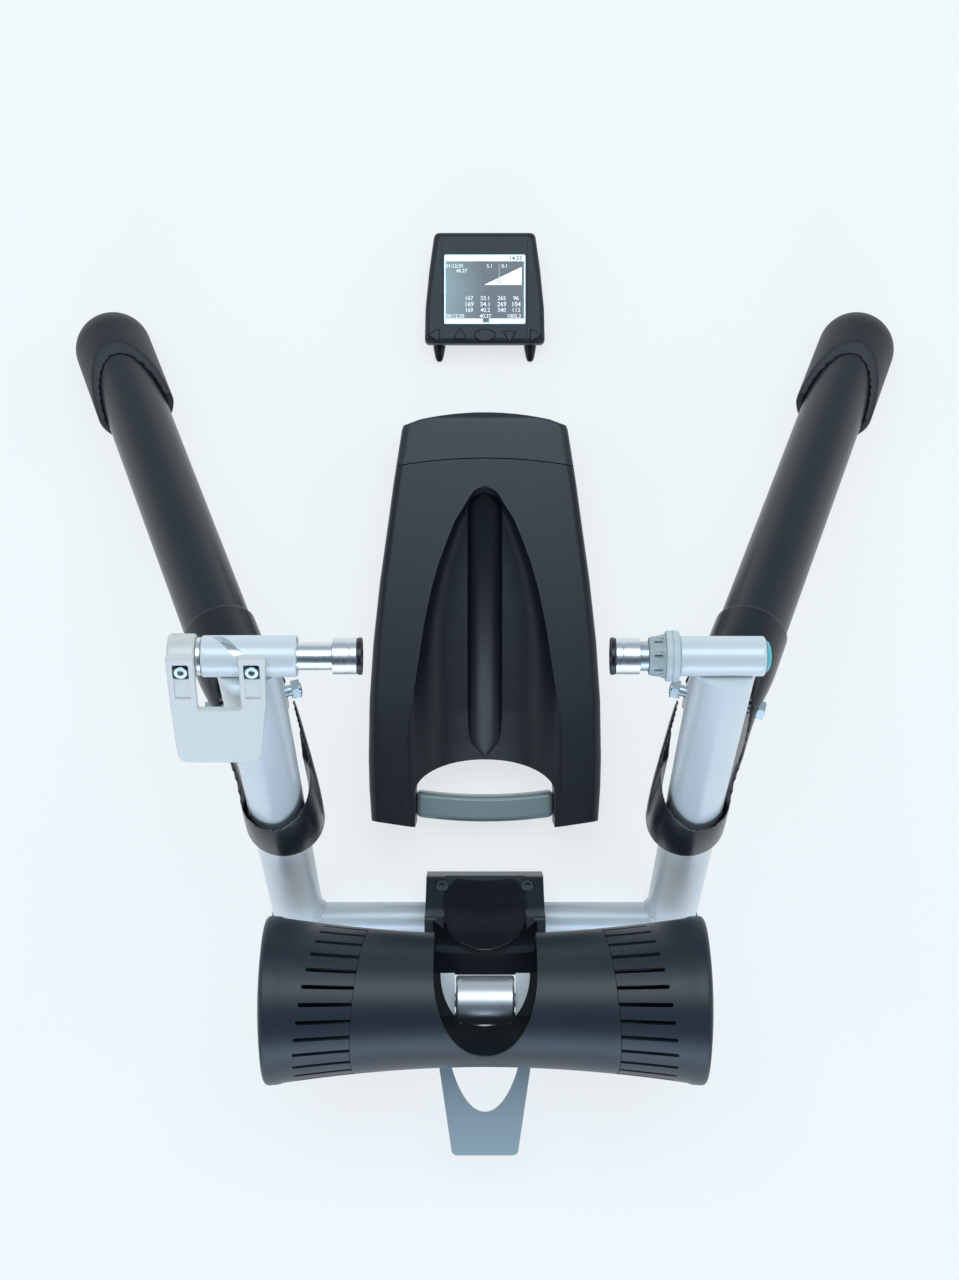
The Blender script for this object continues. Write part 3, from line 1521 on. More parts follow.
@dataclass
class BrakeUnit:
    """Roller brake: bracket, tyre guide, housing, covers, roller train and foot lever."""

    mid_r: float = 0.0485
    end_r: float = 0.062
    half: float = 0.1615
    wall: float = 0.0038
    slots: int = 28
    sides: int = 168
    opening_half: float = 0.0375
    opening_bend: float = -0.201
    opening_depth: float = 0.063

    def build(self) -> None:
        """Make the brake unit."""
        self.housing()
        for side in Side:
            self.cover(side)
        self.bracket()
        self.guide()
        self.inner_parts()
        self.shields()
        self.roller_train()
        self.foot_lever()

    def radius(self, x: float) -> float:
        """Outer radius at a distance from the middle."""
        return self.mid_r + (self.end_r - self.mid_r) * min(1.0, abs(x) / self.half) ** 1.9

    def seam(self, side: Side, offset: float) -> tuple[Vector, Vector]:
        """Point and outward normal of the tilted joint between housing and cover."""
        normal = Vector((side.value, 0.0042 / self.mid_r, -0.0052 / self.mid_r)).normalized()
        return beside(UNIT, side.value * 0.0902) + normal * offset, normal

    def inner(self, x: float) -> Point2:
        """Inside radius and place at a distance from the middle."""
        return self.radius(x) - self.wall, x

    def housing(self) -> None:
        """Middle shell with its bulkheads, U-shaped tyre opening and drain."""
        stops = [(self.radius(x), x) for x in (0.112 - 0.007 * i for i in range(33))]
        for sign in (-1, 1):
            inside = [self.inner(sign * x) for x in (0.112, 0.09, 0.07, 0.044)]
            inside += [(0.0113, sign * 0.044), (0.0113, sign * 0.04)]
            inside += [self.inner(sign * x) for x in (0.04, 0.02)]
            stops += inside if sign < 0 else [self.inner(0.0)] + inside[::-1]
        shell = turned("middle_housing", stops, UNIT, TO_RIGHT, self.sides, ring=True)
        for side in Side:
            start, normal = self.seam(side, -0.0002)
            cut(shell, rod("trim", start, start + normal * 0.08, 0.16, 32))
        half, bend = self.opening_half, self.opening_bend
        arc = ellipse((0.0, bend), half, self.opening_depth, 64, 0.0, -pi)
        mouth = [(half, -0.15)] + arc + [(-half, -0.15)]
        drain = [(0.035, -0.2165), (-0.035, -0.2165)]
        drain += ellipse((0.0, -0.2165), 0.035, 0.038, 40, pi, tau)[1:-1]
        front = [(half, -0.15), (half, UNIT.y), (-half, UNIT.y), (-half, -0.15)]
        cut(
            shell, plate("opening", mouth, UNIT.z, 0.24),
            plate("front_opening", front, 0.108, UNIT.z + 0.001), plate("drain", drain, 0.05, UNIT.z),
        )
        soften(shell, 0.0006, 2, 55)
        dress(shell, "slate_plastic", "brake_unit", "housing_centre")

    def cover(self, side: Side) -> None:
        """End cover with its cooling slots and shallow domed end.

        Args:
            side: which side.
        """
        start_x, end = 0.07, self.half - 0.07
        crown = end + 0.005
        stops = [(0.0, crown), (0.015, crown - 0.0003), (0.03, crown - 0.0012), (0.048, crown - 0.0032)]
        shoulder = [(0.054, crown - 0.0043), (self.end_r, end), (self.end_r - 0.0008, end - 0.01)]
        stops += rounded(shoulder, 0.0042, 6)
        for x in (0.148, 0.142, 0.135, 0.128, 0.12, 0.112, 0.104, 0.096, 0.088, 0.08, 0.07):
            stops.append((self.radius(x), x - start_x))
        stops += [(self.radius(x) - self.wall, x - start_x) for x in (0.07, 0.088, 0.104, 0.12, 0.136)]
        stops += [(self.end_r - self.wall, end - 0.004), (0.03, crown - 0.0052), (0.0, crown - 0.0044)]
        origin = beside(UNIT, side.value * start_x)
        cover = turned(f"slotted_cover_{side.word}", stops, origin, Vector((side.value, 0, 0)), self.sides)
        start, normal = self.seam(side, 0.0002)
        cut(cover, rod("trim", start - normal * 0.08, start, 0.16, 32), self.comb(side))
        dress(cover, "slate_plastic", "brake_unit", f"end_cover_{side.word}")

    def comb(self, side: Side) -> Piece:
        """Cutter with one round-ended blade for each slot.

        Args:
            side: which side.

        Returns:
            The cutter.
        """
        blades = []
        half, x_start, lengthwise = 0.0015, 0.06, Vector((side.value, 0.0, 0.0))
        for i in range(self.slots):
            angle = tau * (i + 0.5) / self.slots
            forward, up = cos(angle), sin(angle)
            x_end = 0.127 - 0.009 * forward + 0.008 * up
            turns = [pi * k / 8 for k in range(9)]
            tip = [(x_end + half * (sin(t) - 1.0), half * cos(t)) for t in turns]
            outline = [(x_start, -half)] + tip[::-1] + [(x_start, half)]
            turn = facing(lengthwise, Vector((0.0, forward, up)).cross(lengthwise), UNIT)
            blades.append(plate("blade", outline, 0.044, 0.068, turn))
        return gather("comb", blades)

    def bracket(self) -> None:
        """Cast bracket between the crossbar and the housing, with its two bolts."""
        outline = rounded(
            [(-0.148, 0.006), (-0.148, 0.042), (-0.16, 0.06), (-0.17, 0.078), (-0.172, 0.1),
             (-0.212, 0.1), (-0.212, 0.064), (-0.196, 0.05), (-0.19, 0.042), (-0.19, 0.006)],
            0.003, 3, True,
        )
        bracket = side_plate("swing_bracket", outline, -0.046, 0.046)
        cheek = [(-0.208, 0.064), (-0.252, 0.055), (-0.254, 0.074), (-0.247, 0.1), (-0.208, 0.1)]
        for sign in (-1, 1):
            low, high = sorted((sign * 0.0392, sign * 0.0459))
            weld(bracket, side_plate("cheek", cheek, low, high))
        bore = cross_rod("bore", CROSSBAR, -0.1, 0.1, 0.0129, 72)
        bowl = [(0.0, 0.1), (0.0499, 0.1), (0.0499, 0.0), (0.0, 0.0)]
        seat = turned("seat", bowl, beside(UNIT, -0.05), TO_RIGHT, 128)
        pin = cross_rod("pin", LEVER_PIN, -0.1, 0.1, 0.0043, 32)
        lip = [(0.0396, -0.1752), (0.0268, -0.184), (0.0173, -0.1913), (0.0085, -0.1965), (0.0, -0.1999)]
        lip += [(-x, y) for x, y in reversed(lip[:-1])]
        behind = plate("behind_lip", lip + [(-0.0396, -0.3), (0.0396, -0.3)], 0.058, 0.12)
        cut(bracket, bore, seat, pin, self.trough(), behind)
        soften(bracket, 0.0012, 3, 45)
        for side in Side:
            foot, head = (Vector((side.value * 0.0335, y, z)) for y, z in ((-0.1645, 0.03), (-0.1535, 0.052)))
            run = head - foot
            cut(
                bracket, rod("hole", foot, head + run * 0.5, 0.0032, 32),
                rod("seat", foot + run * 0.72, head + run, 0.0056, 48),
            )
            axis, grip = run.normalized(), run.length * 0.72 + 0.0003
            top = run.length * 0.72 + 0.0038
            stops = [(0.0, 0.0), (0.0029, 0.0), (0.0029, grip), (0.005, grip), (0.005, top), (0.0, top)]
            name = f"socket_bolt_{side.value + 1}"
            bolt = turned(name, rounded(stops, 0.0005, 3), foot + axis * 0.0006, axis, 48)
            low, high = (foot + axis * (run.length * 0.72 + rise) for rise in (0.002, 0.02))
            cut(bolt, rod("socket", low, high, 0.0026, 6))
            node = f"bracket_bolt_{side.word}"
            dress(bolt, "dark_steel", "brake_unit", node, angle=25.0, slot="zinc_steel")
        dress(bracket, "slate_plastic", "brake_unit", "mounting_bracket", slot="black_plastic")
        half = 0.0374
        rim = [(max(-half, min(half, x)), y) for x, y in reversed(lip)]
        rim = rounded([(-half, -0.17)] + rim + [(half, -0.17)], 0.003, 4, True)
        ledge = plate("bracket_lip", rim, 0.1083, 0.111)
        cut(ledge, self.trough())
        soften(ledge, 0.0011, 3, 45)
        dress(ledge, "slate_plastic", "brake_unit", slot="black_plastic")

    GUIDE = (
        (-0.149, 0.046, 0.0222), (-0.152, 0.0505, 0.0262), (-0.157, 0.0582, 0.0298), (-0.163, 0.0685, 0.032),
        (-0.169, 0.079, 0.0326), (-0.1755, 0.0925, 0.0312), (-0.182, 0.1055, 0.0272), (-0.188, 0.1155, 0.02),
        (-0.1912, 0.1195, 0.0125), (-0.193, 0.121, 0.006),
    )

    def guide_frames(self, pieces: int) -> list[tuple[Vector, Vector, float]]:
        """Centres, outward directions and half-widths along the tyre guide.

        Args:
            pieces: places between its given rows.

        Returns:
            One row for each place.
        """
        rows = smooth_line(self.GUIDE, pieces)
        frames = []
        for i, (y, z, half) in enumerate(rows):
            before, after = rows[max(0, i - 1)], rows[min(len(rows) - 1, i + 1)]
            run = Vector((0.0, after[0] - before[0], after[1] - before[1])).normalized()
            frames.append((Vector((0.0, y, z)), Vector((0.0, run.z, -run.y)), half))
        return frames

    def trough(self) -> Piece:
        """Cutter that leaves room in the bracket under the tyre guide.

        Returns:
            The cutter.
        """
        floor, air = [], []
        for centre, outward, _ in self.guide_frames(1):
            floor.append(centre - outward * 0.0066)
            air.append(centre + outward * 0.03)
        first = floor[0] + Vector((0.0, 0.02, -0.012))
        return side_plate("trough", [(p.y, p.z) for p in [first] + floor + air[::-1]], -0.0312, 0.0312)

    def guide(self) -> None:
        """Curved rubber tongue in front of the roller."""
        frames = self.guide_frames(6)
        widest = max(half for _, _, half in frames)
        rings = []
        for centre, outward, half in frames:
            half = max(half, 0.004)
            upper, lower = [], []
            for j in range(25):
                share = -1.0 + 2.0 * j / 24
                thin = 0.0008 * abs(share) ** 10
                dip = 0.004 * (1.0 - share * share) * (half / widest)
                place = beside(centre, half * share) - outward * dip
                upper.append(tuple(place - outward * thin))
                lower.append(tuple(place - outward * (0.0024 - thin)))
            rings.append(upper + lower[::-1])
        tongue = grown("tyre_tongue", rings)
        dress(tongue, "black_plastic", "brake_unit", "tyre_guide", angle=50.0, slot="black_rubber")

    def shields(self) -> None:
        """Dark ledges and pale half-moon shields that cover the shaft beside the roller."""
        front, rear = -0.207, -0.2386
        for side in Side:
            inner, outer = side.value * 0.0223, side.value * 0.0398
            ledge = plate(
                f"shield_ledge_{side.word}", [(inner, front), (outer, front), (outer, rear), (inner, rear)],
                UNIT.z + 0.0054, UNIT.z + 0.0062,
            )
            dress(ledge, "dark_inside", "brake_unit", slot="black_plastic")
            bow = acos(0.0223 / 0.0329)
            rim = ellipse((0.0, front), 0.0329, 0.0428, 33, 0.0, -bow)
            moon = [(inner, front)] + [(side.value * x, y) for x, y in rim]
            shield = plate(f"roller_shield_{side.word}", moon, UNIT.z + 0.0062, UNIT.z + 0.0072)
            dress(shield, "white_plastic", "brake_unit", slot="silver_paint")

    def inner_parts(self) -> None:
        """Bearings, brake coils and the foot lever's pin, mostly hidden."""
        for side in Side:
            loop, origin = rectangle(0.0053, 0.011, 0.0, 0.006), beside(UNIT, side.value * 0.039)
            ring = collar(f"ball_bearing_{side.word}", loop, 0.0006, origin, side.value, 72)
            dress(ring, "zinc_steel", "brake_unit", f"bearing_{side.word}")
        coils = collar("coil_ring", rectangle(0.014, 0.036, 0.0, 0.0157), 0.002, beside(UNIT, -0.0443), -1)
        dress(coils, "copper_winding", "brake_unit", "brake_coils")
        pin = cross_rod("foot_lever_pin", LEVER_PIN, -0.0468, 0.0468, 0.004, 48, 0.0006)
        dress(pin, "zinc_steel", "brake_unit", "lever_pivot_pin")

    def roller_train(self) -> None:
        """Roller, shaft, flywheel and brake rotor."""
        bore, small, radius = 0.0053, 0.0168, 0.018
        loop = [(bore, 0.0), (small, 0.0), (radius, 0.0012), (radius, 0.0418), (small, 0.043), (bore, 0.043)]
        roller = collar("knurled_roller", loop, 0.0008, beside(UNIT, -0.0215), sides=128)
        for end in (-1, 1):
            for i in range(3):
                angle = tau * i / 3 + 0.5
                out = Vector((0, cos(angle), sin(angle)))
                spot = UNIT + Vector((end * 0.018, cos(angle) * radius, sin(angle) * radius))
                cut(roller, rod("dimple", spot - out * 0.001, spot + out * 0.003, 0.0012, 16))
        dress(roller, "roller_steel", "roller_train", "brake_roller", slot="polished_steel")
        shaft = cross_rod("main_shaft", UNIT, -0.086, 0.086, 0.005, 48, 0.0006)
        dress(shaft, "zinc_steel", "roller_train", "roller_shaft")
        loop = [(bore, 0.02), (0.012, 0.02), (0.014, 0.024), (0.04, 0.024), (0.04, 0.0), (bore, 0.0)]
        wheel = collar("heavy_flywheel", loop, 0.001, beside(UNIT, 0.052))
        dress(wheel, "zinc_steel", "roller_train", "flywheel")
        loop = [(bore, 0.007), (0.039, 0.007), (0.039, 0.0), (bore, 0.0)]
        disc = collar("brake_disc", loop, 0.001, beside(UNIT, -0.064), -1)
        dress(disc, "zinc_steel", "roller_train", "brake_rotor")

    def foot_lever(self) -> None:
        """Tapered foot lever with its oval hole."""
        widest = 0.0388

        def half(y: float) -> float:
            """Half of the lever's width at a place along it."""
            return min(widest, 0.0254 + (y + 0.362) * 0.147)

        right = [(half(y), y) for y in (-0.362, -0.33, -0.3, -0.271)] + [(widest, -0.239)]
        outline = rounded(mirrored(right), 0.004, 4, True)
        lever = plate("foot_lever", outline, 0.0615, 0.0665)
        hole = plate("hole", ellipse((0.0, -0.236), 0.033, 0.093, 120), 0.02, 0.12)
        cut(lever, hole, plate("fork", rectangle(-0.0345, 0.0345, -0.24, -0.186), 0.0, 0.12))
        soften(lever, 0.0007, 3, 50)
        tooth = rounded(
            [(-0.2795, 0.064), (-0.2735, 0.0514), (-0.2713, 0.0494), (-0.2677, 0.0494), (-0.2655, 0.0514),
             (-0.2595, 0.064)], 0.001, 3, True,
        )
        for sign in (-1, 1):
            inner, outer = sorted((sign * 0.0347, sign * 0.0386))
            eye = cross_rod("eye", LEVER_PIN, inner, outer, 0.0078)
            weld(lever, eye, side_plate("knuckle", tooth, inner, outer))
        cut(lever, cross_rod("bore", LEVER_PIN, -0.1, 0.1, 0.0043, 32))
        dress(lever, "tail_grey", "tail_lever", "tension_lever")


@dataclass
class Riser:
    """Front-wheel riser: black shell, front cap and grey rear bar."""

    top: float = 0.06
    rear: float = -0.108
    nose: float = 0.2168
    edge: float = 0.007
    wheel: float = 0.338

    SIDES = (
        (0.2087, 0.0608), (0.2074, 0.0632), (0.205, 0.0648), (0.193, 0.0667), (0.162, 0.0715),
        (0.131, 0.0757), (0.084, 0.0822), (0.038, 0.0872), (-0.009, 0.0904), (-0.055, 0.0911),
        (-0.078, 0.0905), (-0.1, 0.089), (-0.12, 0.0875),
    )
    SCOOP = (
        (0.1574, 0.002, 0.0, 0.6), (0.1567, 0.0044, 0.0006, 0.58), (0.1554, 0.007, 0.0024, 0.56),
        (0.1532, 0.0094, 0.005, 0.54), (0.1505, 0.0117, 0.0074, 0.52),
        (0.1436, 0.0155, 0.011, 0.5), (0.1323, 0.0228, 0.015, 0.48), (0.1185, 0.0285, 0.0172, 0.48),
        (0.098, 0.0361, 0.0194, 0.48), (0.0774, 0.0418, 0.021, 0.5), (0.05, 0.0475, 0.0226, 0.58),
        (0.0272, 0.051, 0.0238, 0.72), (0.0043, 0.0545, 0.0248, 1.0), (-0.0186, 0.0585, 0.0256, 1.4),
        (-0.045, 0.062, 0.0248, 1.8), (-0.08, 0.062, 0.0225, 1.9), (-0.12, 0.06, 0.02, 1.9),
    )

    def build(self) -> None:
        """Make the riser."""
        self.shell()
        self.cap()
        self.bar()

    def half_width(self, y: float) -> float:
        """Half of the width at a place along the riser.

        Args:
            y: the place.

        Returns:
            Half of the width.
        """
        tip, half = self.SIDES[0]
        if y < tip:
            return row_at(self.SIDES, y)[0]
        return max(half * sqrt(max(0.0, self.nose - y) / (self.nose - tip)), 0.002)

    def crown(self, x: float, y: float) -> float:
        """Height of the plain top, which falls a little towards its edges and its front.

        Args:
            x: place across.
            y: place along.

        Returns:
            The height.
        """
        lead = max(0.0, (y - 0.02) / 0.19)
        front = max(0.0, y - (self.nose - self.edge))
        fall = self.edge - sqrt(max(0.0, self.edge ** 2 - front ** 2))
        return self.top - 0.0034 * (abs(x) / 0.09) ** 2.2 - 0.0045 * lead ** 2 - fall

    def block(self, name: str, scoop: Sequence[tuple[float, ...]] = ()) -> Piece:
        """Riser block from its rear to its nose, with or without the scoop.

        Args:
            name: the piece's name.
            scoop: places, half-widths, depths and softness of the scoop, from the front to the rear.

        Returns:
            The block.
        """
        steps = [-0.12 + 0.0032 * i for i in range(103)]
        nose = [0.211, 0.2127, 0.2142, 0.2153, 0.2161, 0.2166]
        tip = [0.154 + 0.0006 * i for i in range(7)]
        rings = []
        for y in sorted(steps + nose + tip):
            hollow = row_at(scoop, y) if scoop and y <= scoop[0][0] else (0.0, 0.0, 1.0)
            rings.append(self.section(y, hollow))
        return grown(name, rings)

    def section(self, y: float, scoop: tuple[float, ...]) -> list[Point3]:
        """Cross-section ring of the block.

        Args:
            y: place along the riser.
            scoop: half-width, depth and softness of the scoop there.

        Returns:
            The ring, the same count at every place.
        """
        wide, depth, soft = scoop
        half = self.half_width(y)
        edge = min(self.edge, half * 0.45)
        flat = half - edge
        wide = min(max(wide, flat * 0.04), flat * 0.98)
        right = []
        for i in range(1, 25):
            share = sin(pi / 2 * i / 24)
            dip = depth * (1.0 - share ** 3.6) ** soft if share < 1.0 else 0.0
            right.append((wide * share, self.crown(wide * share, y) - dip))
        right += [(x, self.crown(x, y)) for x in (wide + (flat - wide) * i / 8 for i in range(1, 9))]
        height = self.crown(flat, y)
        for i in range(1, 8):
            angle = pi / 2 * i / 7
            right.append((flat + edge * sin(angle), height - edge * (1.0 - cos(angle))))
        right += [(half, 0.03), (half, 0.0015), (half - 0.0012, 0.0)]
        middle = self.crown(0.0, y) - depth
        return [(0.0, y, middle)] + [(x, y, z) for x, z in right] + [(-x, y, z) for x, z in reversed(right)]

    def seam(self, shift: float, rear: bool) -> list[Point2]:
        """Ground before or behind the bowed joint of the cap.

        Args:
            shift: how far the joint is moved.
            rear: whether the ground is behind it.

        Returns:
            Its corners.
        """
        places = [-0.12 + 0.24 * i / 24 for i in range(25)]
        arc = [(x, 0.173 + shift + 0.007 * (1 - (x / 0.075) ** 2)) for x in places]
        end = -0.2 if rear else 0.25
        return arc + [(0.12, end), (-0.12, end)]

    def groove(self) -> Piece:
        """Cutter for the straight-sided groove that the tyre rests in.

        Returns:
            The cutter.
        """
        hub = Vector((0.0, 0.05, 0.019 + self.wheel))
        front, rear, half_width = 0.1538, -0.0535, 0.0137
        rings = []
        for i in range(73):
            y = rear + (front - rear) * i / 72
            floor = hub.z - sqrt(self.wheel ** 2 - (y - hub.y) ** 2)
            inset = max(0.0, 1.0 - (y - rear) / half_width, 1.0 - (front - y) / half_width)
            half = half_width * sqrt(max(0.01, 1.0 - inset ** 2))
            ring = []
            for k in range(25):
                cosine, sine = cos(pi * k / 24), sin(pi * k / 24)
                drop = 0.0095 * sine ** (2 / 2.3)
                ring.append((half * copysign(abs(cosine) ** (2 / 2.3), cosine), y, floor + 0.0095 - drop))
            rings.append(ring + [(-half, y, 0.08), (half, y, 0.08)])
        return grown("groove", rings)

    def shell(self) -> None:
        """Black shell with its scoop, groove, arch and slanting rear lobes."""
        shell, half = self.block("riser_body", self.SCOOP), 0.0545
        arch = ellipse((0.0, -0.081), half, 0.0245, 48, 0.0, pi) + [(-half, -0.13), (half, -0.13)]
        cap_room = plate("cap_room", self.seam(-0.0004, False), -0.01, 0.1)
        cut(shell, cap_room, self.groove(), plate("arch", arch, -0.01, 0.1))
        for sign in (-1, 1):
            line = ((0.12, -0.0985), (0.0875, -0.1035), (0.056, -0.108), (0.04, -0.1105))
            lobe = rounded([(sign * x, y) for x, y in line], 0.003)
            cut(shell, plate("lobe_end", lobe + [(sign * 0.04, -0.14), (sign * 0.12, -0.14)], -0.01, 0.1))
        soften(shell, 0.0012, 3, 50)
        dress(shell, "riser_black", "riser", "riser_shell", angle=40.0, slot="black_plastic")

    def cap(self) -> None:
        """Front cap."""
        cap = self.block("riser_nose")
        cut(cap, plate("shell_room", self.seam(0.0004, True), -0.01, 0.1))
        soften(cap, 0.0012, 3, 50)
        dress(cap, "cap_slate", "riser", "riser_front_cap", angle=40.0, slot="slate_plastic")

    def bar(self) -> None:
        """Grey bar between the rear lobes, with a broad rounded front edge."""
        half = 0.0542
        front = [(half * s, -0.082 - 0.004 * (1 - s * s)) for s in (k / 12 for k in range(12, -13, -1))]
        rear = [(half * s, -0.1022 - 0.004 * (1 - s * s)) for s in (k / 12 for k in range(-12, 13))]
        bar = plate("rear_bar", front + rear, 0.004, 0.033)
        soften(bar, 0.0042, 5, 50)
        dress(bar, "bar_grey", "riser", "riser_bar", slot="tail_grey")


@dataclass
class Console:
    """Handlebar console: bracket, shells, lit screen and five keys."""

    front_y: float = 0.362
    rear_y: float = 0.2735
    top: float = 0.03
    pitch: float = 0.0196
    key_y: float = 0.28
    prong_x: float = 0.0365

    KEYS = ("left", "up", "enter", "down", "right")

    def build(self) -> None:
        """Make the console."""
        self.bracket()
        self.back()
        self.front()
        self.screen()
        for index, word in enumerate(self.KEYS):
            self.key(index, word)

    def outline(self, inset: float) -> list[Point2]:
        """Top view, wider at the rear, with rounded corners.

        Args:
            inset: how far it is drawn in.

        Returns:
            The outline.
        """
        front, rear = self.front_y - inset, self.rear_y + inset
        hf, hr = 0.04 - inset, 0.0478 - inset
        right = [(hf, front), (hf + 0.0042, front - 0.03), (hr - 0.0006, rear + 0.028), (hr, rear)]
        return rounded(mirrored(right), 0.0045, 6, True)

    def layers(self, name: str, levels: Sequence[Point2]) -> Piece:
        """Body grown through heights and insets."""
        return grown(name, [[(x, y, z) for x, y in self.outline(inset)] for z, inset in levels])

    def bracket(self) -> None:
        """Bracket plate with two rubber-tipped prongs."""
        flat = rounded(rectangle(-self.prong_x, self.prong_x, 0.292, 0.33), 0.003, 4, True)
        clip = plate("bar_clip", flat, 0.0, 0.008)
        for sign in (-1, 1):
            stops = [(0.0, 0.0), (0.0016, 0.0004), (0.0026, 0.0016), (0.0034, 0.004), (0.0042, 0.008)]
            stops += [(0.0049, 0.0118), (0.0049, 0.013), (0.004, 0.0145), (0.004, 0.066), (0.0, 0.066)]
            tip = Vector((sign * self.prong_x, 0.262, 0.005))
            weld(clip, turned("prong", stops, tip, Vector((0, 1, 0)), 48))
        dress(clip, "black_plastic", "console", "console_bracket")

    def back(self) -> None:
        """Back shell."""
        levels = [(0.0083, 0.006), (0.009, 0.004), (0.0102, 0.0024)]
        levels += [(0.012, 0.0012), (0.015, 0.0005), (0.018, 0.0004)]
        dress(self.layers("rear_case", levels), "black_plastic", "console", "console_back")

    def front(self) -> None:
        """Front shell with the screen window, cheek seams and key wells."""
        levels = [(0.0183, 0.0)]
        for angle in (pi / 2 * k / 8 for k in range(9)):
            levels.append((0.0252 + 0.0048 * sin(angle), 0.0045 * (1 - cos(angle))))
        shell = self.layers("front_case", levels)
        above = self.top + 0.01
        window = rounded(rectangle(-0.0325, 0.0325, 0.2887, 0.3443), 0.0012, 4, True)
        cut(shell, plate("window", window, self.top - 0.0033, above))
        for x in (-0.0338, 0.0338):
            cut(shell, plate("seam", rectangle(x - 0.0003, x + 0.0003, 0.25, 0.4), self.top - 0.0009, above))
        for index in range(len(self.KEYS)):
            cut(shell, plate("well", self.key_outline(index, 0.0004), self.top - 0.004, above))
        dress(shell, "console_plastic", "console", "console_front", slot="slate_plastic")

    def screen(self) -> None:
        """Screen with a bright frame and rows of digits."""
        low, high, rim_width = (-0.0322, 0.289), (0.0322, 0.344), 0.0011
        corners = rectangle(low[0], high[0], low[1], high[1])
        flat = rounded(corners, 0.001, 4, True)
        glass = plate("display_glass", flat, self.top - 0.003, self.top - 0.0007)
        dress(glass, Display("display", low, high).build(), "console", "console_screen", slot="screen_glass")
        rim = plate("display_rim", rounded(corners, 0.0012, 4, True), self.top - 0.0008, self.top - 0.0004)
        inner = rectangle(low[0] + rim_width, high[0] - rim_width, low[1] + rim_width, high[1] - rim_width)
        cut(rim, plate("hole", rounded(inner, 0.0008, 4, True), 0.0, 0.1))
        dress(rim, "zinc_steel", "console", slot="screen_glass")
        self.digits(low, high)

    def digits(self, low: Point2, high: Point2) -> None:
        """Rows of plain numbers on the screen."""
        columns = (0.306, 0.506, 0.709, 0.885)
        bright = (
            (0.37, 0.0045, ("167", "23.1", "265", "96"), columns),
            (0.282, 0.005, ("169", "34.1", "269", "104"), columns),
            (0.198, 0.0045, ("169", "40.2", "340", "112"), columns),
            (0.112, 0.0042, ("00:12:30", "40.27", "1002.2"), (0.135, 0.508, 0.86)),
            (0.835, 0.004, ("01:12:30", "5.1", "0.1"), (0.125, 0.56, 0.745)),
            (0.765, 0.004, ("40.27",), (0.215,)),
        )
        clock = ((0.945, 0.0046, ("14:53",), (0.88,)),)
        self.numbers("display_numbers", bright, low, high, (0.85, 0.88, 0.9), (0.7, 0.76, 0.8), 0.4)
        self.numbers("display_clock", clock, low, high, (0.02, 0.03, 0.04), (0.04, 0.05, 0.06), 0.0)

    def numbers(self, name: str, rows: Sequence[tuple[Any, ...]], low: Point2, high: Point2,
                colour: Colour, shade: Colour, glow: float) -> None:
        """One piece with every number of a tone.

        Args:
            name: the piece's name.
            rows: height share, size, words and place shares of each row.
            low: lower corner of the screen.
            high: upper corner of the screen.
            colour: main colour.
            shade: second colour.
            glow: strength of the light that the numbers give.
        """
        made = []
        for v, size, words, places in rows:
            for word, u in zip(words, places):
                clear()
                bpy.ops.object.text_add(location=(0, 0, 0))
                text = bpy.context.object
                text.data.body = word
                text.data.align_x = "CENTER"
                text.data.align_y = "CENTER"
                text.data.size = size
                text.data.offset = size * 0.012
                text.data.extrude = 0.00004
                bpy.ops.object.convert(target="MESH")
                text = bpy.context.object
                place = [a + share * (b - a) for a, b, share in zip(low, high, (u, v))]
                text.location = (*place, self.top - 0.00062)
                settle(text, "number")
                made.append(text)
        numbers = gather(name, made)
        mend(numbers, 0.000001)
        g = Graph(f"{name}_light")
        tone = g.blend(g.noise(900.0, 1.0) * 0.3, colour, shade)
        inputs = {"Base Color": tone, "Roughness": 0.4, "Emission Color": tone, "Emission Strength": glow}
        dress(numbers, g.surface(inputs), "console", slot="screen_glass")

    def key_outline(self, index: int, grow: float) -> list[Point2]:
        """Top view of a key: an oval, or an arrow that points its own way.

        Args:
            index: number of the key from the left.
            grow: how much larger it is drawn.

        Returns:
            The outline.
        """
        x = (index - 2) * self.pitch
        if index == 2:
            return ellipse((x, self.key_y), 0.008 + grow, 0.0046 + grow, 48)
        turn = {0: pi, 1: pi / 2, 3: -pi / 2, 4: 0.0}[index]
        radius = 0.0046 * 1.3 + grow * 1.6
        angles = [turn + tau * i / 3 for i in range(3)]
        corners = [(x + radius * cos(a), self.key_y + radius * sin(a)) for a in angles]
        return rounded(corners, 0.0022, 5, True)

    def key(self, index: int, word: str) -> None:
        """One key with a softly rounded top.

        Args:
            index: number of the key from the left.
            word: what it is for.
        """
        flat = self.key_outline(index, 0.0)
        key = plate(f"arrow_key_{word}", flat, self.top - 0.0029, self.top + 0.0008)
        soften(key, 0.0005, 3, 50)
        dress(key, "console_plastic", f"key_{word}_cap", f"key_{word}", slot="slate_plastic")


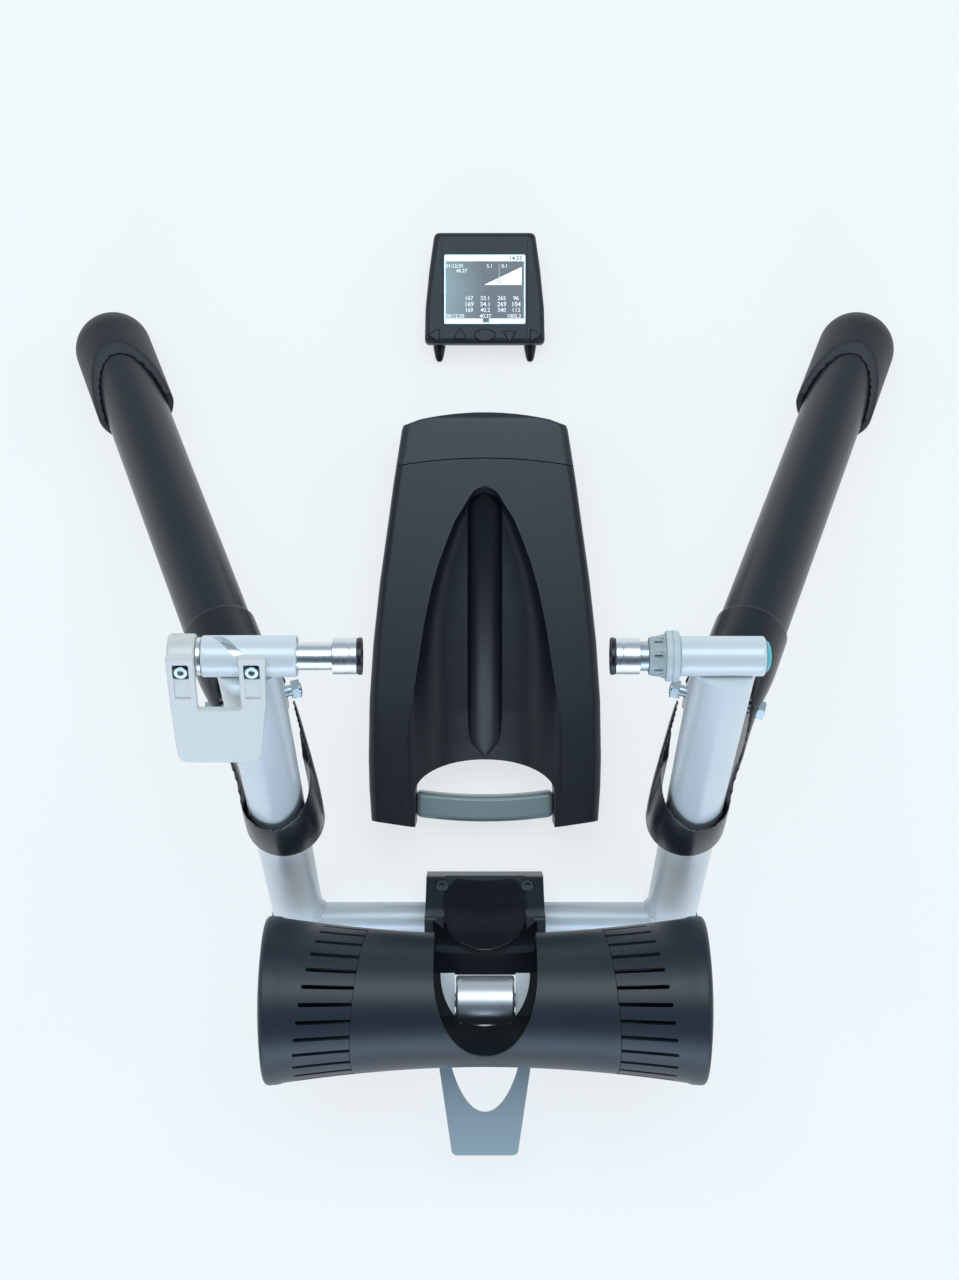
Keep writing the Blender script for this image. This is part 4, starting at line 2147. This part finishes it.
@dataclass
class Studio:
    """Floor, lamps, world and the overhead camera."""

    camera_height: float = 1.65
    focal_pixels: float = 2041.0
    picture_height: float = 1280.0
    sensor: float = 36.0
    centre: Point2 = (-0.0042, 0.038)

    def build(self) -> None:
        """Set up the studio."""
        neutral, sky_blue, blue = (0.95, 0.97, 1.0), (0.76, 0.91, 1.0), (0.62, 0.79, 1.0)
        self.floor()
        self.camera()
        self.lamp("left_bank", (-1.85, 0.1, 1.0), (2.6, 0.95), 6.0, neutral)
        self.lamp("right_bank", (1.85, 0.1, 1.0), (2.6, 0.95), 6.0, neutral)
        self.lamp("top_front_bank", (0.0, 0.95, 2.35), (2.3, 1.35), 31.0, sky_blue)
        self.lamp("rear_bank", (0.0, -2.1, 0.85), (2.8, 1.1), 28.0, blue)
        self.world()
        bpy.context.scene.view_settings.view_transform = "Standard"

    def floor(self) -> None:
        """White floor that runs far past the picture."""
        clear()
        bpy.ops.mesh.primitive_plane_add(size=9.0, location=(0.0, 0.0, -0.0002))
        ground = settle(bpy.context.object, "studio_floor")
        ground.data.materials.append(StudioFloor("studio_white").build())

    def camera(self) -> None:
        """Camera straight above, with the picture's top towards +Y."""
        data = bpy.data.cameras.new("overhead")
        data.sensor_fit = "VERTICAL"
        data.sensor_height = self.sensor
        data.lens = self.focal_pixels / self.picture_height * self.sensor
        data.clip_end = 50.0
        camera = bpy.data.objects.new("overhead", data)
        bpy.context.scene.collection.objects.link(camera)
        camera.location = (*self.centre, self.camera_height)
        bpy.context.scene.camera = camera

    def lamp(self, name: str, place: Point3, size: Point2, power: float, tint: Colour) -> None:
        """Soft bank aimed at the middle of the set.

        Args:
            name: the lamp's name.
            place: where it stands.
            size: its width and height.
            power: its power in watts.
            tint: its colour.
        """
        data = bpy.data.lights.new(name, "AREA")
        data.shape = "RECTANGLE"
        data.size, data.size_y = size
        data.energy = power
        data.color = tint
        lamp = bpy.data.objects.new(name, data)
        bpy.context.scene.collection.objects.link(lamp)
        aim = (Vector((0.0, 0.0, 0.1)) - Vector(place)).to_track_quat("-Z", "Y")
        lamp.matrix_world = Matrix.Translation(Vector(place)) @ aim.to_matrix().to_4x4()

    def world(self) -> None:
        """Cool room light, bright at the horizon, dark overhead towards the rear and white to the camera."""
        g = Graph("room", world=True)
        direction = g.add("ShaderNodeSeparateXYZ", None, {0: g.add("ShaderNodeTexCoord").out("Generated")})
        overhead = g.blend(direction.out(1).ramp(-0.4, 0.4), (0.03, 0.042, 0.06), (0.26, 0.31, 0.34))
        sky = g.blend(direction.out(2).ramp(0.05, 0.8), (0.44, 0.52, 0.6), overhead)
        seen = g.add("ShaderNodeLightPath").out("Is Camera Ray")
        colour = g.blend(seen, sky, (0.9, 0.935, 0.95))
        room = g.add("ShaderNodeBackground", None, {"Color": colour, "Strength": 1.0})
        bpy.context.scene.world = g.close(room)


def main() -> None:
    """Build the whole set in order and report each piece."""
    builders: Sequence[Any] = (
        Studio(), Stand(), FoldingLeg(Side.LEFT), FoldingLeg(Side.RIGHT), QuickClamp(), Adjuster(),
        BrakeUnit(), Riser(), Console(),
    )
    reported = {obj.name for obj in bpy.data.objects}
    for builder in builders:
        builder.build()
        for name in sorted({obj.name for obj in bpy.data.objects} - reported):
            LOG.info("%s: %s", type(builder).__name__, name)
            reported.add(name)


if __name__ == "__main__":
    main()
